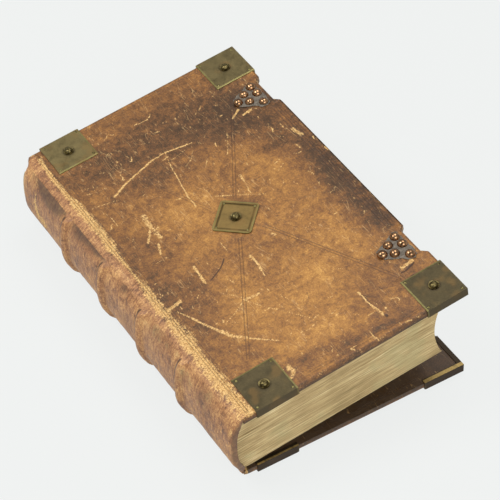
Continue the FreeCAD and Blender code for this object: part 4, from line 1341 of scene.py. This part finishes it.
oak = grained("quartered_oak_boards", "#6a4d32", "#a07c54", 0.7, (1.0, 0.06, 1.0), 3.0)
peg_wood = grained("whittled_oak_pegs", "#6f5236", "#9a7850", 0.7, (1.0, 1.0, 0.2), 1.2)
hemp = grained("twisted_hemp_cord", "#8a744a", "#cbb684", 0.85, (0.35, 1.0, 0.35), 0.9)
linen = grained("pasted_linen_linings", "#a08e64", "#cdbf98", 0.85, (1.0, 1.0, 1.0), 0.9)
laid_paper = grained("laid_paper_pastedowns", "#b09c6c", "#d6c79c", 0.8, (1.0, 0.5, 1.0), 14.0)
boss_brass = small_brass("turned_boss_brass", "#3a3120", "#7d7048", 0.40)
nail_brass = small_brass("domed_nail_brass", "#57402e", "#b38a64", 0.20, 3.0)
pin_brass = small_brass("pin_brass", "#3f3722", "#8f8554", 0.38)
grimy_strap = grained("torn_strap_leather", "#2c241c", "#857a6b", 0.7, (1.0, 1.0, 1.0), 1.6, 0.75)

# Places of the plates on a cover, as (along, across)
fore = cover_reach + plate_thickness - plate_size / 2
spine_at = plate_setback + plate_size / 2
tail_at = plate_size / 2 - plate_thickness
head_at = cover_height + plate_thickness - plate_size / 2
shoe_places = (
    ("tail_spine", spine_at, tail_at), ("head_spine", spine_at, head_at),
    ("tail_fore", fore, tail_at), ("head_fore", fore, head_at),
)
shoe_lift = {
    "upper_tail_spine": -0.12,
    "upper_head_spine": 0.34,
    "upper_tail_fore": -0.22,
    "upper_head_fore": 0.22,
}
centre_shift = (0.6, 2.5)
pin_inset = 3.0


def give_shoes(cover):
    for corner, along, across in shoe_places:
        name = cover.name + "_" + corner
        headwards = 1.0 if corner.startswith("tail") else -1.0
        rims = [(1, headwards), (0, -1.0 if corner.endswith("fore") else 1.0)]
        give(name + "_shoe", sheet_brass("tarnished_sheet_brass_" + name, cover, along, across,
                                         plate_size / 2, False, rims, shoe_lift.get(name, 0.0)))


def give_centre_plate(cover, middle):
    rims = [(0, 1.0), (0, -1.0), (1, 1.0), (1, -1.0)]
    give(cover.name + "_centre_plate", sheet_brass("tarnished_centre_plate_" + cover.name, cover, *middle,
                                                   centre_side / 2, True, rims, 0.45))


def plate_pins(cover, middle):
    """Four pins to a shoe, near its corners, and one near each corner of the centre plate."""
    far = plate_size - pin_inset
    places = [(a + i, b + j) for a in (plate_setback, fore - plate_size / 2)
              for b in (tail_at - plate_size / 2, head_at - plate_size / 2)
              for i in (pin_inset, far) for j in (pin_inset, far)]
    reach = centre_side / math.sqrt(2) - pin_inset - 1.6
    places += [(middle[0] + i * reach, middle[1] + j * reach) for i, j in ((1, 0), (-1, 0), (0, 1), (0, -1))]
    pin = dome(cover.outwards, radius=1.15, height=0.5, shank_radius=0.7, shank=3.0)
    nailed(cover.name + "_pins", cover, places, plate_thickness, pin, pin_brass, cover.name + "_plate_pins",
           "pin_brass", spread=0.14, lean_angle=0.10, seed=5)
    bpy.data.objects.remove(pin)


def clasp_sites_left():
    """The domed nails of the two lost clasps, and the torn straps under them."""
    nail = dome(upper.outwards, radius=4.1, height=3.5, shank_radius=1.0, shank=4.0)
    for number, (end, site) in enumerate(zip(("tail", "head"), clasp_sites)):
        places = [(a, site + b) for a, b in nail_offsets]
        nailed(end + "_nails", upper, places, stub_thickness, nail, nail_brass, end + "_clasp_nails",
               "nail_brass", spread=0.05, lean_angle=0.12, seed=11 + number)
        torn_stub(end + "_torn_stub", site, 21 + number, end + "_strap_stub")
    bpy.data.objects.remove(nail)


nail_repeat = fastener_group()
for cover in (lower, upper):
    shift = centre_shift if cover.upper else (0.0, 0.0)
    middle = (cover_reach / 2 + shift[0], cover_height / 2 + shift[1])
    give_shoes(cover)
    give_centre_plate(cover, middle)
    plate_pins(cover, middle)
    for part, material in (("corner_bosses", boss_brass), ("centre_boss", boss_brass), ("board", oak),
                           ("lacing_pegs", peg_wood), ("lacing_slips", hemp), ("pastedown", laid_paper)):
        give(cover.name + "_" + part, material)
clasp_sites_left()
under_the_back(hemp, linen)


# Table, light and camera

def pale_stage():
    """A pale floor that the camera sees as the photograph's even grey-white."""
    made, tree = new_material("matt_pale_paper_sweep")
    paths = add(tree, "ShaderNodeLightPath")
    seen = maths(tree, "MAXIMUM", paths.outputs["Is Camera Ray"], paths.outputs["Is Glossy Ray"])
    seen = maths(tree, "MAXIMUM", seen, paths.outputs["Is Transmission Ray"])
    paper = add(tree, "ShaderNodeBsdfDiffuse", Color=linear("#e9ebea"))
    glow = add(tree, "ShaderNodeEmission", Color=linear("#eef0ef"), Strength=1.0)
    kept_shadow = maths(tree, "MULTIPLY", seen, 0.93)
    mixed = add(tree, "ShaderNodeMixShader", i0=kept_shadow, i1=paper.outputs[0], i2=glow.outputs[0])
    finish_material(made, mixed)
    side = 6.0
    corners = [(-side, -side, 0), (side, -side, 0), (side, side, 0), (-side, side, 0)]
    floor = make_mesh("table_top", corners, [(0, 1, 2, 3)], smooth=False)
    floor.data.materials.append(made)


def lamp(name, place, aim, size, power):
    data = bpy.data.lights.new(name, "AREA")
    data.shape = "RECTANGLE"
    data.size, data.size_y = size
    data.energy = power
    made = bpy.data.objects.new(name, data)
    made.location = place
    made.rotation_euler = (Vector(aim) - Vector(place)).to_track_quat("-Z", "Y").to_euler()
    bpy.context.scene.collection.objects.link(made)


pale_stage()
world = bpy.data.worlds.new("studio")
bpy.context.scene.world = world
world.use_nodes = True
world.node_tree.nodes.clear()
sky = add(world.node_tree, "ShaderNodeBackground", Color=linear("#eef0ef"), Strength=0.55)
seen_sky = add(world.node_tree, "ShaderNodeBackground", Color=linear("#eef0ef"), Strength=1.0)
camera_ray = add(world.node_tree, "ShaderNodeLightPath").outputs["Is Camera Ray"]
world_mix = add(world.node_tree, "ShaderNodeMixShader", i0=camera_ray, i1=sky.outputs[0],
                i2=seen_sky.outputs[0])
world_out = world.node_tree.nodes.new("ShaderNodeOutputWorld")
world.node_tree.links.new(world_mix.outputs[0], world_out.inputs["Surface"])
lamp("key_from_left", (-0.9, 0.5, 1.5), (0, 0, 0.05), (0.9, 0.6), 16.0)
lamp("fill_from_camera", (-0.1, -1.5, 1.2), (0, 0, 0.05), (1.2, 0.8), 13.0)
lamp("top_soft", (0.5, 0.2, 1.6), (0, 0, 0.05), (0.8, 0.8), 9.0)

camera_data = bpy.data.cameras.new("camera")
camera_data.sensor_width = 36.0
camera_data.lens = focal_px / photo_side * camera_data.sensor_width
camera_data.clip_start, camera_data.clip_end = 0.01, 50.0
camera = bpy.data.objects.new("camera", camera_data)
bpy.context.scene.collection.objects.link(camera)
turn = Matrix((camera_right, camera_up, camera_back)).transposed().to_4x4()
camera.matrix_world = Matrix.Translation(camera_place) @ turn
bpy.context.scene.camera = camera
bpy.context.scene.view_settings.view_transform = "Standard"
